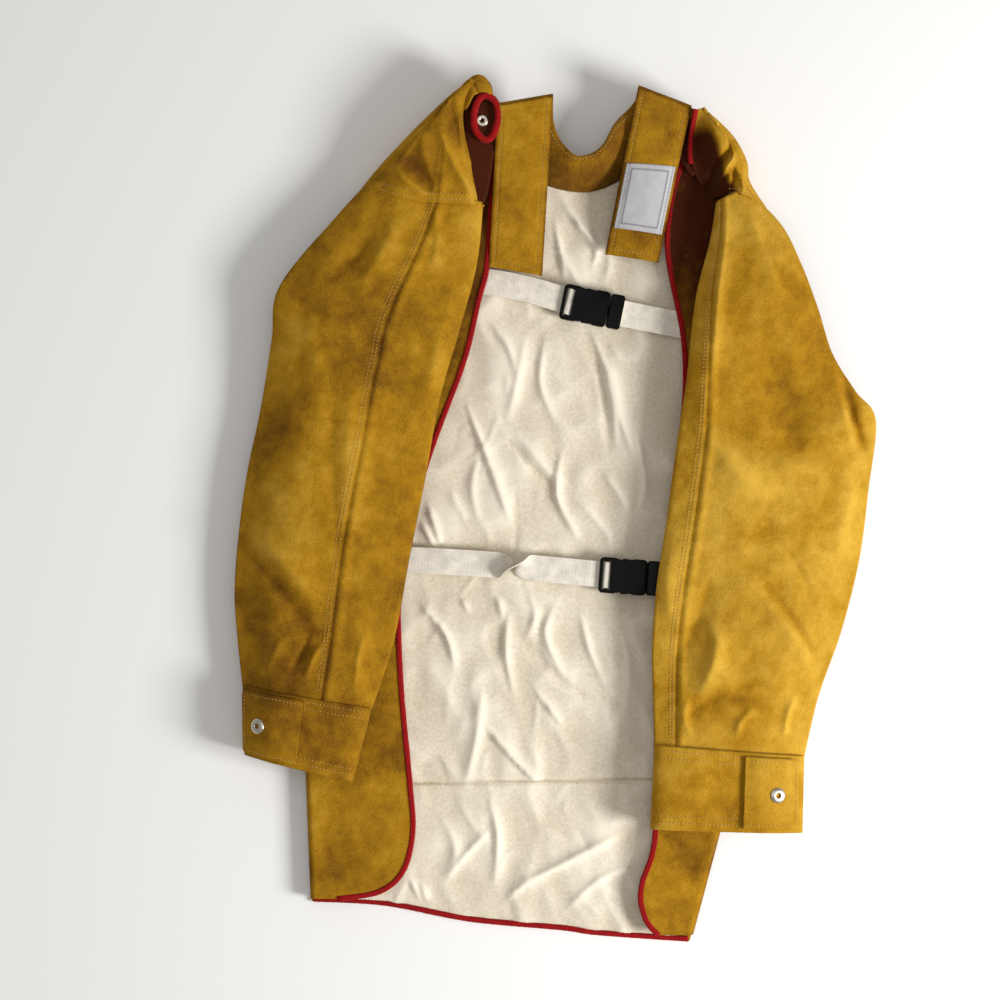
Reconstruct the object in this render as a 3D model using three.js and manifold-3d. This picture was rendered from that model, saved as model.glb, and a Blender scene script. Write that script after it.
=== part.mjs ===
// Open-back leather welding jacket, laid on its front with the back opening upward.
// Millimetres. Seen from above, +X is to the right (the wearer's right arm, as the jacket lies on its front),
// +Y is towards the collar, and +Z is up from the surface. The origin is the centre of the footprint.
import * as THREE from "three";
import { mergeVertices } from "three/addons/utils/BufferGeometryUtils.js";
import Module from "manifold-3d";

const wasm = await Module();
wasm.setup();

// ---------- driving dimensions ----------
const LENGTH = 821; // of the jacket as laid, over everything
const WIDTH = 605.6; // across both sleeves as laid
const LEATHER = 1.6; // split cowhide
const LINING = 1.0; // cotton drill
const WEB_WIDTH = 25; // strap webbing
const WEB_THICK = 1.6;
const WEB_CLEARANCE = 0.8; // between the webbing's edge and a buckle, each side
const COLLAR_THICK = 3.0; // two plies of leather
const BINDING_WIDTH = 9; // red edge binding, each side of the edge
const BINDING_THICK = 0.8;
const GAP = 0.35; // between pieces that touch
const TORSO_ROOM = 12; // height of the space between the lining and the back panels
const SLEEVE_HEIGHT = 34; // of a sleeve as it lies, at the upper arm
const CUFF_HEIGHT = 24; // of a cuff as it lies
const CUFF_PLY = 2.4; // cuff band, folded leather
const FOLD_BULGE = 5.6; // of the body's side fold, beyond the panel's flat part
const SNAP_DIAMETER = 15;
const SEAM_GAP = 1.2; // between the two panels of a sleeve

const LINING_Z = LEATHER + GAP;
const BACK_Z = LINING_Z + LINING + TORSO_ROOM; // underside of the back panels
const BACK_TOP = BACK_Z + LEATHER;
const SLEEVE_Z = BACK_TOP + BINDING_THICK + 2 * GAP + LEATHER; // inside of a sleeve where it lies on the body

// ---------- outlines, listed from the collar down ----------
// They are drawn for one size and graded to the length and width above.
const DRAWN = { length: 821, width: 605.6 };
const GRADE = { x: WIDTH / DRAWN.width, y: LENGTH / DRAWN.length };
const graded = (points) => points.map(([x, y]) => [x * GRADE.x, y * GRADE.y]);

const BODY_LEFT = graded([[-74, 399], [-130, 352], [-175, 311], [-212, 235], [-222, 171], [-234, 105],
  [-243, 10], [-243, -133], [-238, -249], [-232, -372]]);
const BODY_RIGHT = graded([[140, 376], [166, 345], [181, 314], [215, 235], [230, 171], [228, 57],
  [208, -86], [184, -200], [156, -306], [127, -410]]);
const HEM = graded([[-232, -372], [-162, -376], [-82, -391], [4, -399], [42, -404], [127, -410]]);
const NECKLINE = graded([[-74, 399], [-50, 352], [-18, 315], [20, 303], [58, 312], [96, 342], [140, 376]]);
const LEFT_BACK_EDGE = graded([[-56, 372], [-60, 294], [-64, 233], [-72, 200], [-86, 142], [-118, 55],
  [-142, -28], [-148, -86], [-145, -171], [-137, -257], [-134, -304], [-143, -342], [-166, -362],
  [-205, -368]]);
const RIGHT_BACK_EDGE = graded([[131, 368], [122, 340], [110, 304], [105, 261], [108, 228], [120, 166],
  [121, 105], [110, 10], [101, -86], [94, -180], [92, -306], [80, -351], [78, -370], [84, -390], [95, -402]]);
const LEFT_SLEEVE = {
  outer: graded([[-177, 313], [-207, 280], [-262, 212], [-270, 161], [-281, 95], [-293, 38], [-301, -19],
    [-305, -76], [-302, -123], [-297, -166]]),
  inner: graded([[-69, 291], [-75, 233], [-91, 171], [-110, 105], [-124, 28], [-139, -48], [-153, -123],
    [-174, -187]]),
  cuffOuter: graded([[-297, -168], [-295, -231]]),
  cuffInner: graded([[-174, -189], [-191, -256]]),
  seam: 0.62, // the top seam's place across the sleeve, from the outer edge
  droop: 0.6, // how far the part beyond the body sinks towards the surface, 1 being all the way
  side: -1,
};
const RIGHT_SLEEVE = {
  outer: graded([[179, 305], [213, 271], [232, 233], [248, 190], [262, 147], [284, 112], [303, 85],
    [296, 19], [287, -47], [270, -114], [248, -176], [234, -232]]),
  inner: graded([[152, 292], [146, 256], [132, 200], [123, 123], [113, 57], [104, -10], [94, -76],
    [90, -133], [91, -180], [92, -221]]),
  cuffOuter: graded([[234, -234], [232, -304]]),
  cuffInner: graded([[92, -223], [88, -300]]),
  seam: 0.86,
  droop: 0.35,
  side: 1,
};

const group = new THREE.Group();
const MATERIALS = {
  leather: { color: 0x9b6a10, roughness: 0.85 },
  lining: { color: 0xcdbf9f, roughness: 0.95 },
  binding: { color: 0x960f14, roughness: 0.8 },
  webbing: { color: 0xe6dfcf, roughness: 0.85 },
  plastic: { color: 0x0b0b0c, roughness: 0.4 },
  nickel: { color: 0xc9c6bd, roughness: 0.3, metalness: 1 },
  label: { color: 0xb9b7b6, roughness: 0.7 },
  hook: { color: 0x17130f, roughness: 0.95 },
};
const materials = Object.fromEntries(
  Object.entries(MATERIALS).map(([name, look]) => [name, new THREE.MeshStandardMaterial(look)]));

// ---------- making closed solids ----------
function place(name, geometry, finish, parent = group) {
  const mesh = new THREE.Mesh(geometry, materials[finish]);
  mesh.name = name;
  parent.add(mesh);
  return mesh;
}

const through = (points) => new THREE.SplineCurve(points.map(([x, y]) => new THREE.Vector2(x, y)));

// A sheet of even thickness over surface(u, v), a point for each u and v from 0 to 1. Its upper face is the
// surface's own side where the cross product of the u and v directions points up.
function sheet(surface, across, along, thickness) {
  const positions = [];
  const faces = [];
  const step = 1e-3;
  const row = across + 1;
  const layer = row * (along + 1);
  for (const lift of [0, thickness]) {
    for (let j = 0; j <= along; j++) {
      for (let i = 0; i <= across; i++) {
        const [u, v] = [i / across, j / along];
        const du = surface(Math.min(u + step, 1), v).sub(surface(Math.max(u - step, 0), v));
        const dv = surface(u, Math.min(v + step, 1)).sub(surface(u, Math.max(v - step, 0)));
        const normal = dv.cross(du).normalize();
        positions.push(...surface(u, v).addScaledVector(normal, lift));
      }
    }
  }
  const quad = (a, b, c, d) => faces.push(a, b, c, a, c, d);
  for (let j = 0; j < along; j++) {
    for (let i = 0; i < across; i++) {
      const a = j * row + i;
      quad(a, a + 1, a + 1 + row, a + row);
      quad(layer + a, layer + a + row, layer + a + 1 + row, layer + a + 1);
    }
  }
  for (let j = 0; j < along; j++) {
    const [a, b] = [j * row, j * row + across];
    quad(a, a + row, a + row + layer, a + layer);
    quad(b, b + layer, b + row + layer, b + row);
  }
  for (let i = 0; i < across; i++) {
    const [a, b] = [i, along * row + i];
    quad(a, a + layer, a + 1 + layer, a + 1);
    quad(b, b + 1, b + 1 + layer, b + layer);
  }
  return closed(positions, faces);
}

function closed(positions, faces) {
  const geometry = new THREE.BufferGeometry();
  geometry.setAttribute("position", new THREE.Float32BufferAttribute(positions, 3));
  geometry.setIndex(faces);
  return geometry;
}

// A flat plate with the given outline, between z and z + thickness.
function plate(outline, z, thickness) {
  const shape = new THREE.Shape(outline.map(([x, y]) => new THREE.Vector2(x, y)));
  return new THREE.ExtrudeGeometry(shape, { depth: thickness, bevelEnabled: false }).translate(0, 0, z);
}

const sampled = (points, steps) => through(points).getSpacedPoints(steps).map((p) => [p.x, p.y]);

function solid(geometry) {
  const bare = geometry.clone();
  bare.deleteAttribute("normal");
  bare.deleteAttribute("uv");
  const merged = mergeVertices(bare, 1e-4);
  return new wasm.Manifold(new wasm.Mesh({
    numProp: 3,
    vertProperties: merged.attributes.position.array,
    triVerts: new Uint32Array(merged.index.array),
  }));
}

function geometryOf(manifold) {
  const mesh = manifold.getMesh();
  const positions = [];
  for (let i = 0; i < mesh.numVert; i++) {
    positions.push(...mesh.vertProperties.subarray(i * mesh.numProp, i * mesh.numProp + 3));
  }
  return closed(positions, [...mesh.triVerts]);
}

const box = (x0, x1, y0, y1, z0, z1) =>
  new THREE.BoxGeometry(x1 - x0, y1 - y0, z1 - z0).translate((x0 + x1) / 2, (y0 + y1) / 2, (z0 + z1) / 2);

function roundedBox(length, width, height, corner) {
  const [a, b] = [length / 2, width / 2];
  const shape = new THREE.Shape();
  shape.absarc(a - corner, b - corner, corner, 0, Math.PI / 2);
  shape.absarc(-a + corner, b - corner, corner, Math.PI / 2, Math.PI);
  shape.absarc(-a + corner, -b + corner, corner, Math.PI, 1.5 * Math.PI);
  shape.absarc(a - corner, -b + corner, corner, 1.5 * Math.PI, 2 * Math.PI);
  const bevel = height * 0.14;
  return new THREE.ExtrudeGeometry(shape, {
    depth: height - 2 * bevel, curveSegments: 3, bevelSegments: 1, bevelSize: bevel, bevelOffset: -bevel,
    bevelThickness: bevel,
  }).translate(0, 0, -height / 2 + bevel);
}

const smooth = (t) => {
  const c = Math.min(Math.max(t, 0), 1);
  return c * c * (3 - 2 * c);
};

// ---------- body: front panel, lining and hem ----------
function outlineBetween(left, neck, right, hem, steps) {
  return [...sampled(left, steps), ...sampled(hem, 10).slice(1, -1), ...sampled(right, steps).reverse(),
    ...sampled(neck, 12).slice(1, -1).reverse()];
}

const inset = (points, dx, dy) => points.map(([x, y]) => [x + dx, y + dy]);

const LINING_SEAM_Y = -258; // the lining's lower piece starts here
const LINING_INSET = 20; // from the body's outline, clear of the side folds
const SEWN_IN = 0.8; // a binding's set-back from the edge it covers, and from its own full width
const BINDING_SHARE = { hem: [0.05, 0.95], back: [0.02, 0.97] }; // of an edge's length
const beyond = 600; // past every side of the jacket, for cuts that go right through

function buildFront() {
  place("front_panel", plate(outlineBetween(BODY_LEFT, NECKLINE, BODY_RIGHT, HEM, 18), 0, LEATHER), "leather");
  const whole = solid(plate(outlineBetween(inset(BODY_LEFT, LINING_INSET, 0), inset(NECKLINE, 0, -2),
    inset(BODY_RIGHT, -LINING_INSET, 0), inset(HEM, 0, BINDING_WIDTH + GAP), 18), LINING_Z, LINING));
  const below = inset(HEM, 0, -6 * BINDING_WIDTH).reverse();
  const hemLine = sampled(inset(HEM, 0, BINDING_WIDTH + GAP), 18);
  const hemStrip = solid(plate([...hemLine, ...below], -LINING_Z, 4 * LINING_Z));
  const seam = LINING_SEAM_Y * GRADE.y;
  const lower = solid(box(-beyond, beyond, -beyond, seam, -LINING_Z, 4 * LINING_Z)).subtract(hemStrip);
  const upper = solid(box(-beyond, beyond, seam + GAP, beyond, -LINING_Z, 4 * LINING_Z));
  place("lining_upper", geometryOf(whole.intersect(upper)), "lining");
  place("lining_lower", geometryOf(whole.intersect(lower)), "lining");
  const hem = through(HEM);
  const hemBinding = (u, v) => {
    const p = hem.getPointAt(THREE.MathUtils.lerp(...BINDING_SHARE.hem, u));
    const away = THREE.MathUtils.lerp(SEWN_IN, BINDING_WIDTH - SEWN_IN, v);
    return new THREE.Vector3(p.x, p.y + away, LEATHER + GAP);
  };
  place("hem_binding", sheet((u, v) => hemBinding(u, 1 - v), 18, 1, BINDING_THICK), "binding");
}

// ---------- back panels: from the side fold up, over and in to the bound edge ----------
const SIDE_IN = 9; // from the body's outline to the start of the fold's bulge
const FOLD_SHARE = 0.24; // share of the panel's width taken by the fold
const FIRST = 0.005; // where the fold starts down the side, as a share of its length

function foldProfile(u) {
  const low = 2 * LEATHER + GAP; // the fold's inner face, one leather thickness above the front panel
  const centre = (low + BACK_Z) / 2;
  const half = BACK_Z - centre;
  if (u >= FOLD_SHARE) {
    return { inward: (u - FOLD_SHARE) / (1 - FOLD_SHARE), bulge: 0, z: BACK_Z };
  }
  const angle = (u / FOLD_SHARE - 0.5) * Math.PI;
  return { inward: 0, bulge: Math.cos(angle) * FOLD_BULGE, z: centre + Math.sin(angle) * half };
}

function buildBackPanel(name, sideLine, edgeLine, side) {
  const sideCurve = through(sideLine);
  const edgeCurve = through(edgeLine);
  const surface = (u, v) => {
    const { inward, bulge, z } = foldProfile(u);
    const outer = sideCurve.getPointAt(THREE.MathUtils.lerp(FIRST, 1, v));
    const inner = edgeCurve.getPointAt(v);
    const x = THREE.MathUtils.lerp(outer.x - side * SIDE_IN, inner.x, inward) + side * bulge;
    return new THREE.Vector3(x, THREE.MathUtils.lerp(outer.y, inner.y, inward), z);
  };
  const along = (u, v) => (side < 0 ? surface(u, 1 - v) : surface(1 - u, 1 - v));
  const geometry = sheet((u, v) => along(u, 1 - v), 10, 16, LEATHER);
  place(name, geometry, "leather");
}

const LEFT_SIDE = graded([[-176, 302], [-214, 225], [-224, 160], [-236, 100], [-243, 10], [-243, -133],
  [-238, -249], [-233, -368]]);
const RIGHT_SIDE = graded([[178, 306], [214, 228], [229, 165], [227, 57], [208, -86], [184, -200],
  [156, -306], [130, -402]]);

function buildBackPanels() {
  buildBackPanel("left_back_panel", LEFT_SIDE, LEFT_BACK_EDGE, -1);
  buildBackPanel("right_back_panel", RIGHT_SIDE, RIGHT_BACK_EDGE, 1);
  for (const [name, line, side] of [["left_back_binding", LEFT_BACK_EDGE, -1],
    ["right_back_binding", RIGHT_BACK_EDGE, 1]]) {
    const edge = through(line);
    const ribbon = (u, v) => {
      const at = THREE.MathUtils.lerp(...BINDING_SHARE.back, v);
      const p = edge.getPointAt(at);
      const t = edge.getTangentAt(at);
      const away = THREE.MathUtils.lerp(SEWN_IN, BINDING_WIDTH - SEWN_IN, side < 0 ? 1 - u : u);
      const [nx, ny] = side < 0 ? [t.y, -t.x] : [-t.y, t.x];
      return new THREE.Vector3(p.x + nx * away, p.y + ny * away, BACK_TOP + GAP);
    };
    place(name, sheet(ribbon, 1, 26, BINDING_THICK), "binding");
  }
}

// ---------- shoulder yokes ----------
const HEAD_FLATNESS = 0.62; // height of the sleeve head, as a share of the upper arm's
const HEAD_TOP = SLEEVE_Z + SLEEVE_HEIGHT * HEAD_FLATNESS + LEATHER;
// Heights above the sleeve head: at the collar, at the sleeve, and of the yoke's own crown.
const LEFT_YOKE = {
  outer: graded([[-82, 405], [-105, 385], [-134, 358], [-181, 309]]),
  inner: graded([[-66, 411], [-88, 380], [-86, 340], [-67, 295]]),
  side: -1, collar: 9.7, sleeve: 5.7, crown: 4,
};
const RIGHT_YOKE = {
  outer: graded([[150, 372], [168, 350], [176, 336], [192, 306]]),
  inner: graded([[134, 376], [128, 350], [130, 330], [146, 288]]),
  side: 1, collar: 7.7, sleeve: 4.7, crown: 3,
};

function buildYoke(name, yoke) {
  const outer = through(yoke.outer);
  const inner = through(yoke.inner);
  const surface = (u, v) => {
    const a = outer.getPointAt(v);
    const b = inner.getPointAt(v);
    const rise = THREE.MathUtils.lerp(yoke.collar, yoke.sleeve, v) + yoke.crown * Math.sin(Math.PI * u);
    const [x, y] = [THREE.MathUtils.lerp(a.x, b.x, u), THREE.MathUtils.lerp(a.y, b.y, u)];
    return new THREE.Vector3(x, y, HEAD_TOP + rise);
  };
  place(name, sheet((u, v) => surface(yoke.side < 0 ? u : 1 - u, v), 6, 8, LEATHER), "leather");
}

// ---------- sleeves ----------
const SHELL_POWER = 2 / 3.2; // squareness of a lying sleeve's section
const OVERHANG = 0.3; // share of a sleeve's width that lies beyond the body
const HEAD_SHARE = 0.2; // share of a sleeve's length over which the head fills out
const SINK = { from: 0.22, over: 0.3 }; // shares of its length where the part beyond the body sinks

// A point on the loop round a lying sleeve: turn runs 0 to 1 from the outer edge over the top to the inner
// edge, and 1 to 2 back underneath.
function loopPoint(outer, inner, turn, height, base) {
  const angle = turn * Math.PI;
  const c = Math.cos(angle);
  const s = Math.sin(angle);
  const across = 0.5 - 0.5 * Math.sign(c) * Math.abs(c) ** SHELL_POWER;
  const rise = 0.5 + 0.5 * Math.sign(s) * Math.abs(s) ** SHELL_POWER;
  const x = THREE.MathUtils.lerp(outer.x, inner.x, across);
  const y = THREE.MathUtils.lerp(outer.y, inner.y, across);
  return new THREE.Vector3(x, y, base(across) + rise * height);
}

// The seam's share across the sleeve, turned back into a turn value on the top of the loop.
function turnAt(across) {
  const cosine = Math.sign(0.5 - across) * Math.abs(1 - 2 * across) ** (1 / SHELL_POWER);
  return Math.acos(cosine) / Math.PI;
}

// Height of a sleeve's inside at v along it: from the upper arm down, the part beyond the body's edge sinks.
function restHeight(sleeve, v, share) {
  const drop = sleeve.droop * (SLEEVE_Z - LEATHER) * smooth((v - SINK.from) / SINK.over);
  return SLEEVE_Z - drop * (1 - smooth(share / OVERHANG));
}

function sleeveSurface(sleeve, fromTurn, toTurn) {
  const outer = through(sleeve.outer);
  const inner = through(sleeve.inner);
  return (u, v) => {
    const turn = THREE.MathUtils.lerp(fromTurn, toTurn, u);
    const fullness = THREE.MathUtils.lerp(HEAD_FLATNESS, 1, smooth(v / HEAD_SHARE));
    const height = THREE.MathUtils.lerp(SLEEVE_HEIGHT, CUFF_HEIGHT, smooth(v)) * fullness;
    const base = (share) => restHeight(sleeve, v, share);
    return loopPoint(outer.getPointAt(v), inner.getPointAt(v), turn, height, base);
  };
}

const UNDER_SEAM = 0.3; // the hidden seam's place across the sleeve's underside
const SLEEVE_ACROSS = 14;
const SLEEVE_ALONG = 14;
const SLEEVE_HALF_GIRTH = 110; // of the narrow part, where the panels lie closest

function buildSleeve(prefix, sleeve) {
  const seam = turnAt(sleeve.seam);
  const underSeam = 2 - turnAt(UNDER_SEAM);
  const slack = SEAM_GAP / SLEEVE_HALF_GIRTH;
  const upper = sleeveSurface(sleeve, seam - slack, underSeam - 2 + slack);
  const under = sleeveSurface(sleeve, underSeam - slack, seam + slack);
  const inwards = (surface) => (sleeve.side < 0 ? (u, v) => surface(u, v) : (u, v) => surface(1 - u, v));
  const leatherIn = (surface) => sheet(inwards(surface), SLEEVE_ACROSS, SLEEVE_ALONG, LEATHER);
  place(`${prefix}_sleeve_upper_panel`, leatherIn(upper), "leather");
  place(`${prefix}_sleeve_under_panel`, leatherIn(under), "leather");
}

// ---------- cuffs, their overlapping tabs and snaps ----------
const TAB_THICK = 2.4;
const TAB_LIFT = 1.9; // room for the stud's base between the band and the tab
const SOCKET_CLEARANCE = 0.5; // between the socket and its hole through the tab
const TAB_RISE = 0.3; // share of the tab's length over which it rises to clear the stud
const TAB_MARGIN = 0.06; // bare band at each end of the tab, as a share of the cuff's length
const SNAP = {
  base: { radius: 5.5, height: 0.6 },
  stud: { radius: 2.9, waist: 2.3, tip: 2, shoulder: 2.5, height: 3.4 },
  socket: { outer: 4.5, inner: 3.7 },
  cap: { rise: 0.7, height: 1.7, rim: 0.7, dome: 1.5, well: 2.2, lip: 0.6, slope: 2.2 },
};
// Places across the cuff, from its outer edge.
const LEFT_SNAP = { share: 0.17, tipShare: 0.03, rootShare: 0.5 };
const RIGHT_SNAP = { share: 0.2, tipShare: 0.06, rootShare: 0.42 };

function lathe(profile) {
  return new THREE.LatheGeometry(profile.map(([r, z]) => new THREE.Vector2(r, z)), 16).rotateX(Math.PI / 2);
}

// A ring of the given section: the profile runs round its own closed outline, bottom first.
const ring = (inner, outer, low, high) =>
  lathe([[inner, low], [outer, low], [outer, high], [inner, high], [inner, low]]);

function cuffSurface(sleeve) {
  const outer = through(sleeve.cuffOuter);
  const inner = through(sleeve.cuffInner);
  const base = (share) => CUFF_PLY - LEATHER + restHeight(sleeve, 1, share);
  return (turn, v) => loopPoint(outer.getPointAt(v), inner.getPointAt(v), turn, CUFF_HEIGHT, base);
}

// The outward direction at a point of the cuff, on its upper half.
function outwardAt(surface, turn, v) {
  const du = surface(turn + 0.01, v).sub(surface(turn - 0.01, v));
  const dv = surface(turn, v + 0.01).sub(surface(turn, v - 0.01));
  const normal = dv.cross(du).normalize();
  return normal.z < 0 ? normal.negate() : normal;
}

function buildCuff(prefix, sleeve, snap) {
  const surface = cuffSurface(sleeve);
  const around = (u, v) => (sleeve.side < 0 ? surface((2 * u) % 2, v) : surface((2 - 2 * u) % 2, v));
  place(`${prefix}_cuff_band`, hoop(around, 32, 3, CUFF_PLY), "leather");

  // The tab follows the band from its root near the middle out to the outer edge, rising to clear the stud.
  const [root, tip] = [turnAt(snap.rootShare), turnAt(snap.tipShare)];
  const tabAt = (u, v) => {
    const turn = THREE.MathUtils.lerp(root, tip, u);
    const along = THREE.MathUtils.lerp(TAB_MARGIN, 1 - TAB_MARGIN, v);
    const lift = CUFF_PLY + THREE.MathUtils.lerp(GAP, TAB_LIFT, smooth(u / TAB_RISE));
    return surface(turn, along).addScaledVector(outwardAt(surface, turn, along), lift);
  };
  const facing = (u, v) => (sleeve.side < 0 ? tabAt(1 - u, v) : tabAt(u, v));
  const snapTurn = turnAt(snap.share);
  const normal = outwardAt(surface, snapTurn, 0.5);
  const frame = new THREE.Group();
  frame.position.copy(surface(snapTurn, 0.5).addScaledVector(normal, CUFF_PLY));
  frame.quaternion.setFromUnitVectors(new THREE.Vector3(0, 0, 1), normal);
  frame.updateMatrix();
  group.add(frame);
  const tabTop = TAB_LIFT + TAB_THICK;
  const holeRadius = SNAP.socket.outer + SOCKET_CLEARANCE;
  const hole = solid(ring(0, holeRadius, 0, 2 * tabTop).applyMatrix4(frame.matrix));
  place(`${prefix}_cuff_tab`, geometryOf(solid(sheet(facing, 9, 4, TAB_THICK)).subtract(hole)), "leather");
  const { base, stud, socket, cap } = SNAP;
  const baseTop = GAP + base.height;
  place(`${prefix}_snap_stud`, lathe([[0, GAP], [base.radius, GAP], [base.radius, baseTop],
    [stud.waist, baseTop], [stud.radius, stud.shoulder], [stud.tip, stud.height], [0, stud.height]]),
  "nickel", frame);
  place(`${prefix}_snap_socket`, ring(socket.inner, socket.outer, TAB_LIFT, tabTop), "nickel", frame);
  const capZ = tabTop + cap.rise;
  const edge = SNAP_DIAMETER / 2;
  place(`${prefix}_snap_cap`, lathe([[cap.well, capZ], [edge, capZ], [edge - cap.lip, capZ + cap.rim],
    [edge - cap.slope, capZ + cap.dome], [cap.well + cap.lip, capZ + cap.height], [cap.well, capZ + cap.rim],
    [cap.well, capZ]]), "nickel", frame);
}

// A closed ring of sheet: surface(u, v) comes back to its start at u = 1.
function hoop(surface, around, along, thickness) {
  const positions = [];
  const faces = [];
  const layer = around * (along + 1);
  for (const lift of [0, thickness]) {
    for (let j = 0; j <= along; j++) {
      for (let i = 0; i < around; i++) {
        const [u, v] = [i / around, j / along];
        const du = surface((u + 1e-3) % 1, v).sub(surface((u + 1 - 1e-3) % 1, v));
        const dv = surface(u, Math.min(v + 1e-3, 1)).sub(surface(u, Math.max(v - 1e-3, 0)));
        positions.push(...surface(u, v).addScaledVector(dv.cross(du).normalize(), lift));
      }
    }
  }
  const quad = (a, b, c, d) => faces.push(a, b, c, a, c, d);
  for (let i = 0; i < around; i++) {
    const next = (i + 1) % around;
    for (let j = 0; j < along; j++) {
      const [a, b] = [j * around + i, j * around + next];
      quad(a, b, b + around, a + around);
      quad(layer + a, layer + a + around, layer + b + around, layer + b);
    }
    const [a, b] = [i, next];
    const [c, d] = [along * around + i, along * around + next];
    quad(a, a + layer, b + layer, b);
    quad(c, d, d + layer, c + layer);
  }
  return closed(positions, faces);
}

// ---------- collar ----------
const COLLAR_SEWN = graded([[-57, 376], [-47, 348], [-20, 318], [20, 306], [54, 313], [92, 342], [128, 371]]);
const COLLAR_FREE = graded([[-3, 384], [-2, 366], [6, 350], [20, 333], [41, 345], [57, 366], [79, 393]]);
const FLAP_LOW = BACK_TOP + GAP + BINDING_THICK + 1.3; // underside of a folded collar end at its free end
const FLAP_HIGH = FLAP_LOW + 25; // and at its fold
const COLLAR_END = FLAP_HIGH - 1.8; // height of the stand's two ends, under the folds
const COLLAR_HIGH = COLLAR_END - 5.2; // height of its free edge at the front of the neck
const COLLAR_LOW = LEATHER + 3.4; // height of its sewn edge there
const COLLAR_SPREAD = 5; // how sharply the stand's ends rise
const FLAP_ROLL = 1.6; // how sharply a collar end rolls near its fold
const FLAP_BELLY = 0.12; // fullness below the roll, as a share of the rise
const LEFT_FLAP = { top: graded([[-56, 381], [-3, 390]]), bottom: graded([[-64, 232], [-13, 223]]) };
const RIGHT_FLAP = { top: graded([[77, 398], [127, 379]]), bottom: graded([[47, 244], [98, 236]]) };
const LABEL = { from: 0.42, to: 0.85, inset: 0.06, thick: 0.6 }; // shares of the right end's length and width
const FASTENER = { from: 0.76, to: 0.97, inset: 0.14, thick: 1.2 };

function buildCollar() {
  const sewn = through(COLLAR_SEWN);
  const free = through(COLLAR_FREE);
  const surface = (u, v) => {
    const a = sewn.getPointAt(v);
    const b = free.getPointAt(v);
    const ends = Math.abs(2 * v - 1) ** COLLAR_SPREAD;
    const low = THREE.MathUtils.lerp(COLLAR_LOW, COLLAR_END, ends);
    const high = THREE.MathUtils.lerp(COLLAR_HIGH, COLLAR_END, ends);
    const lean = Math.sin((u * Math.PI) / 2);
    return new THREE.Vector3(THREE.MathUtils.lerp(a.x, b.x, u), THREE.MathUtils.lerp(a.y, b.y, u),
      THREE.MathUtils.lerp(low, high, lean));
  };
  place("collar_stand", sheet((u, v) => surface(u, 1 - v), 4, 16, COLLAR_THICK), "leather");
  buildFlap("left", LEFT_FLAP);
  buildFlap("right", RIGHT_FLAP);
}

// A collar end: it rises from its lower edge to a roll about the fold line at the top.
function buildFlap(prefix, flap) {
  const at = (u, v) => {
    const a = new THREE.Vector2(...flap.top[0]).lerp(new THREE.Vector2(...flap.bottom[0]), v);
    const b = new THREE.Vector2(...flap.top[1]).lerp(new THREE.Vector2(...flap.bottom[1]), v);
    const p = a.lerp(b, u);
    const rise = (1 - v) ** FLAP_ROLL + FLAP_BELLY * Math.sin(Math.PI * v);
    return new THREE.Vector3(p.x, p.y, THREE.MathUtils.lerp(FLAP_LOW, FLAP_HIGH, rise));
  };
  place(`${prefix}_collar_end`, sheet(at, 3, 12, COLLAR_THICK), "leather");
  // A patch on the flap's upper face, or under its lower one.
  const patch = (name, finish, { from, to, inset: margin, thick }, above) => {
    const area = (u, v) => {
      const across = THREE.MathUtils.lerp(margin, 1 - margin, u);
      const down = THREE.MathUtils.lerp(from, to, v);
      const dv = at(across, down + 1e-3).sub(at(across, down - 1e-3));
      const du = at(across + 1e-3, down).sub(at(across - 1e-3, down));
      const lift = above ? COLLAR_THICK + GAP : -GAP - thick;
      return at(across, down).addScaledVector(dv.cross(du).normalize(), lift);
    };
    place(name, sheet(area, 2, 6, thick), finish);
  };
  if (prefix === "right") {
    patch("size_label", "label", LABEL, true);
  }
  patch(`${prefix}_collar_fastener`, "hook", FASTENER, false);
}

// ---------- straps and side-release buckles, in a frame along each strap ----------
const SLOT_CLEARANCE = 1; // between the webbing's faces and a slot it passes through
const BUCKLE_SIDE = 3.7; // of plastic at each side of the webbing
const WEB_GAP = WEB_WIDTH + 2 * WEB_CLEARANCE;
const BUCKLE = {
  width: WEB_GAP + 2 * BUCKLE_SIDE, height: 9, corner: 4, body: 34, wall: 2, rail: 0.6, clearance: 0.4,
  rearBar: 3, webSlot: WEB_THICK + SLOT_CLEARANCE, midBar: 2.8, end: 4,
  windowLength: 13, windowInset: 6, grip: 30, gripDepth: 1.6,
  base: 13.6, baseCorner: 3, baseInset: 0.5, topInset: 0.3, roof: 1.2, pocket: 4.6, pin: 2.4, pinIn: 8.2,
  tongueWidth: 9, tongueHeight: 3.2, tongueShort: 5,
  prong: 3.4, prongHeight: 4.4, prongShort: 1.2, barb: 2.4, barbLength: 7, barbLean: 0.4,
};
const LOOP = BUCKLE.rearBar + 2 * BUCKLE.webSlot + BUCKLE.midBar; // webbing end of the housing
const REAR = -(LOOP + BUCKLE.body);
const WEB_PASS = GAP + WEB_THICK / 2; // from a bar's face to the middle of the webbing on it
const REAR_BAR_LOW = 0.2;
const MID_BAR = [-2.6, 0.8]; // its lower and upper faces
const PIN_BAR = [-1.1, 0.7];
const wide = 40; // past every side of a buckle, for cuts that go right through

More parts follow.
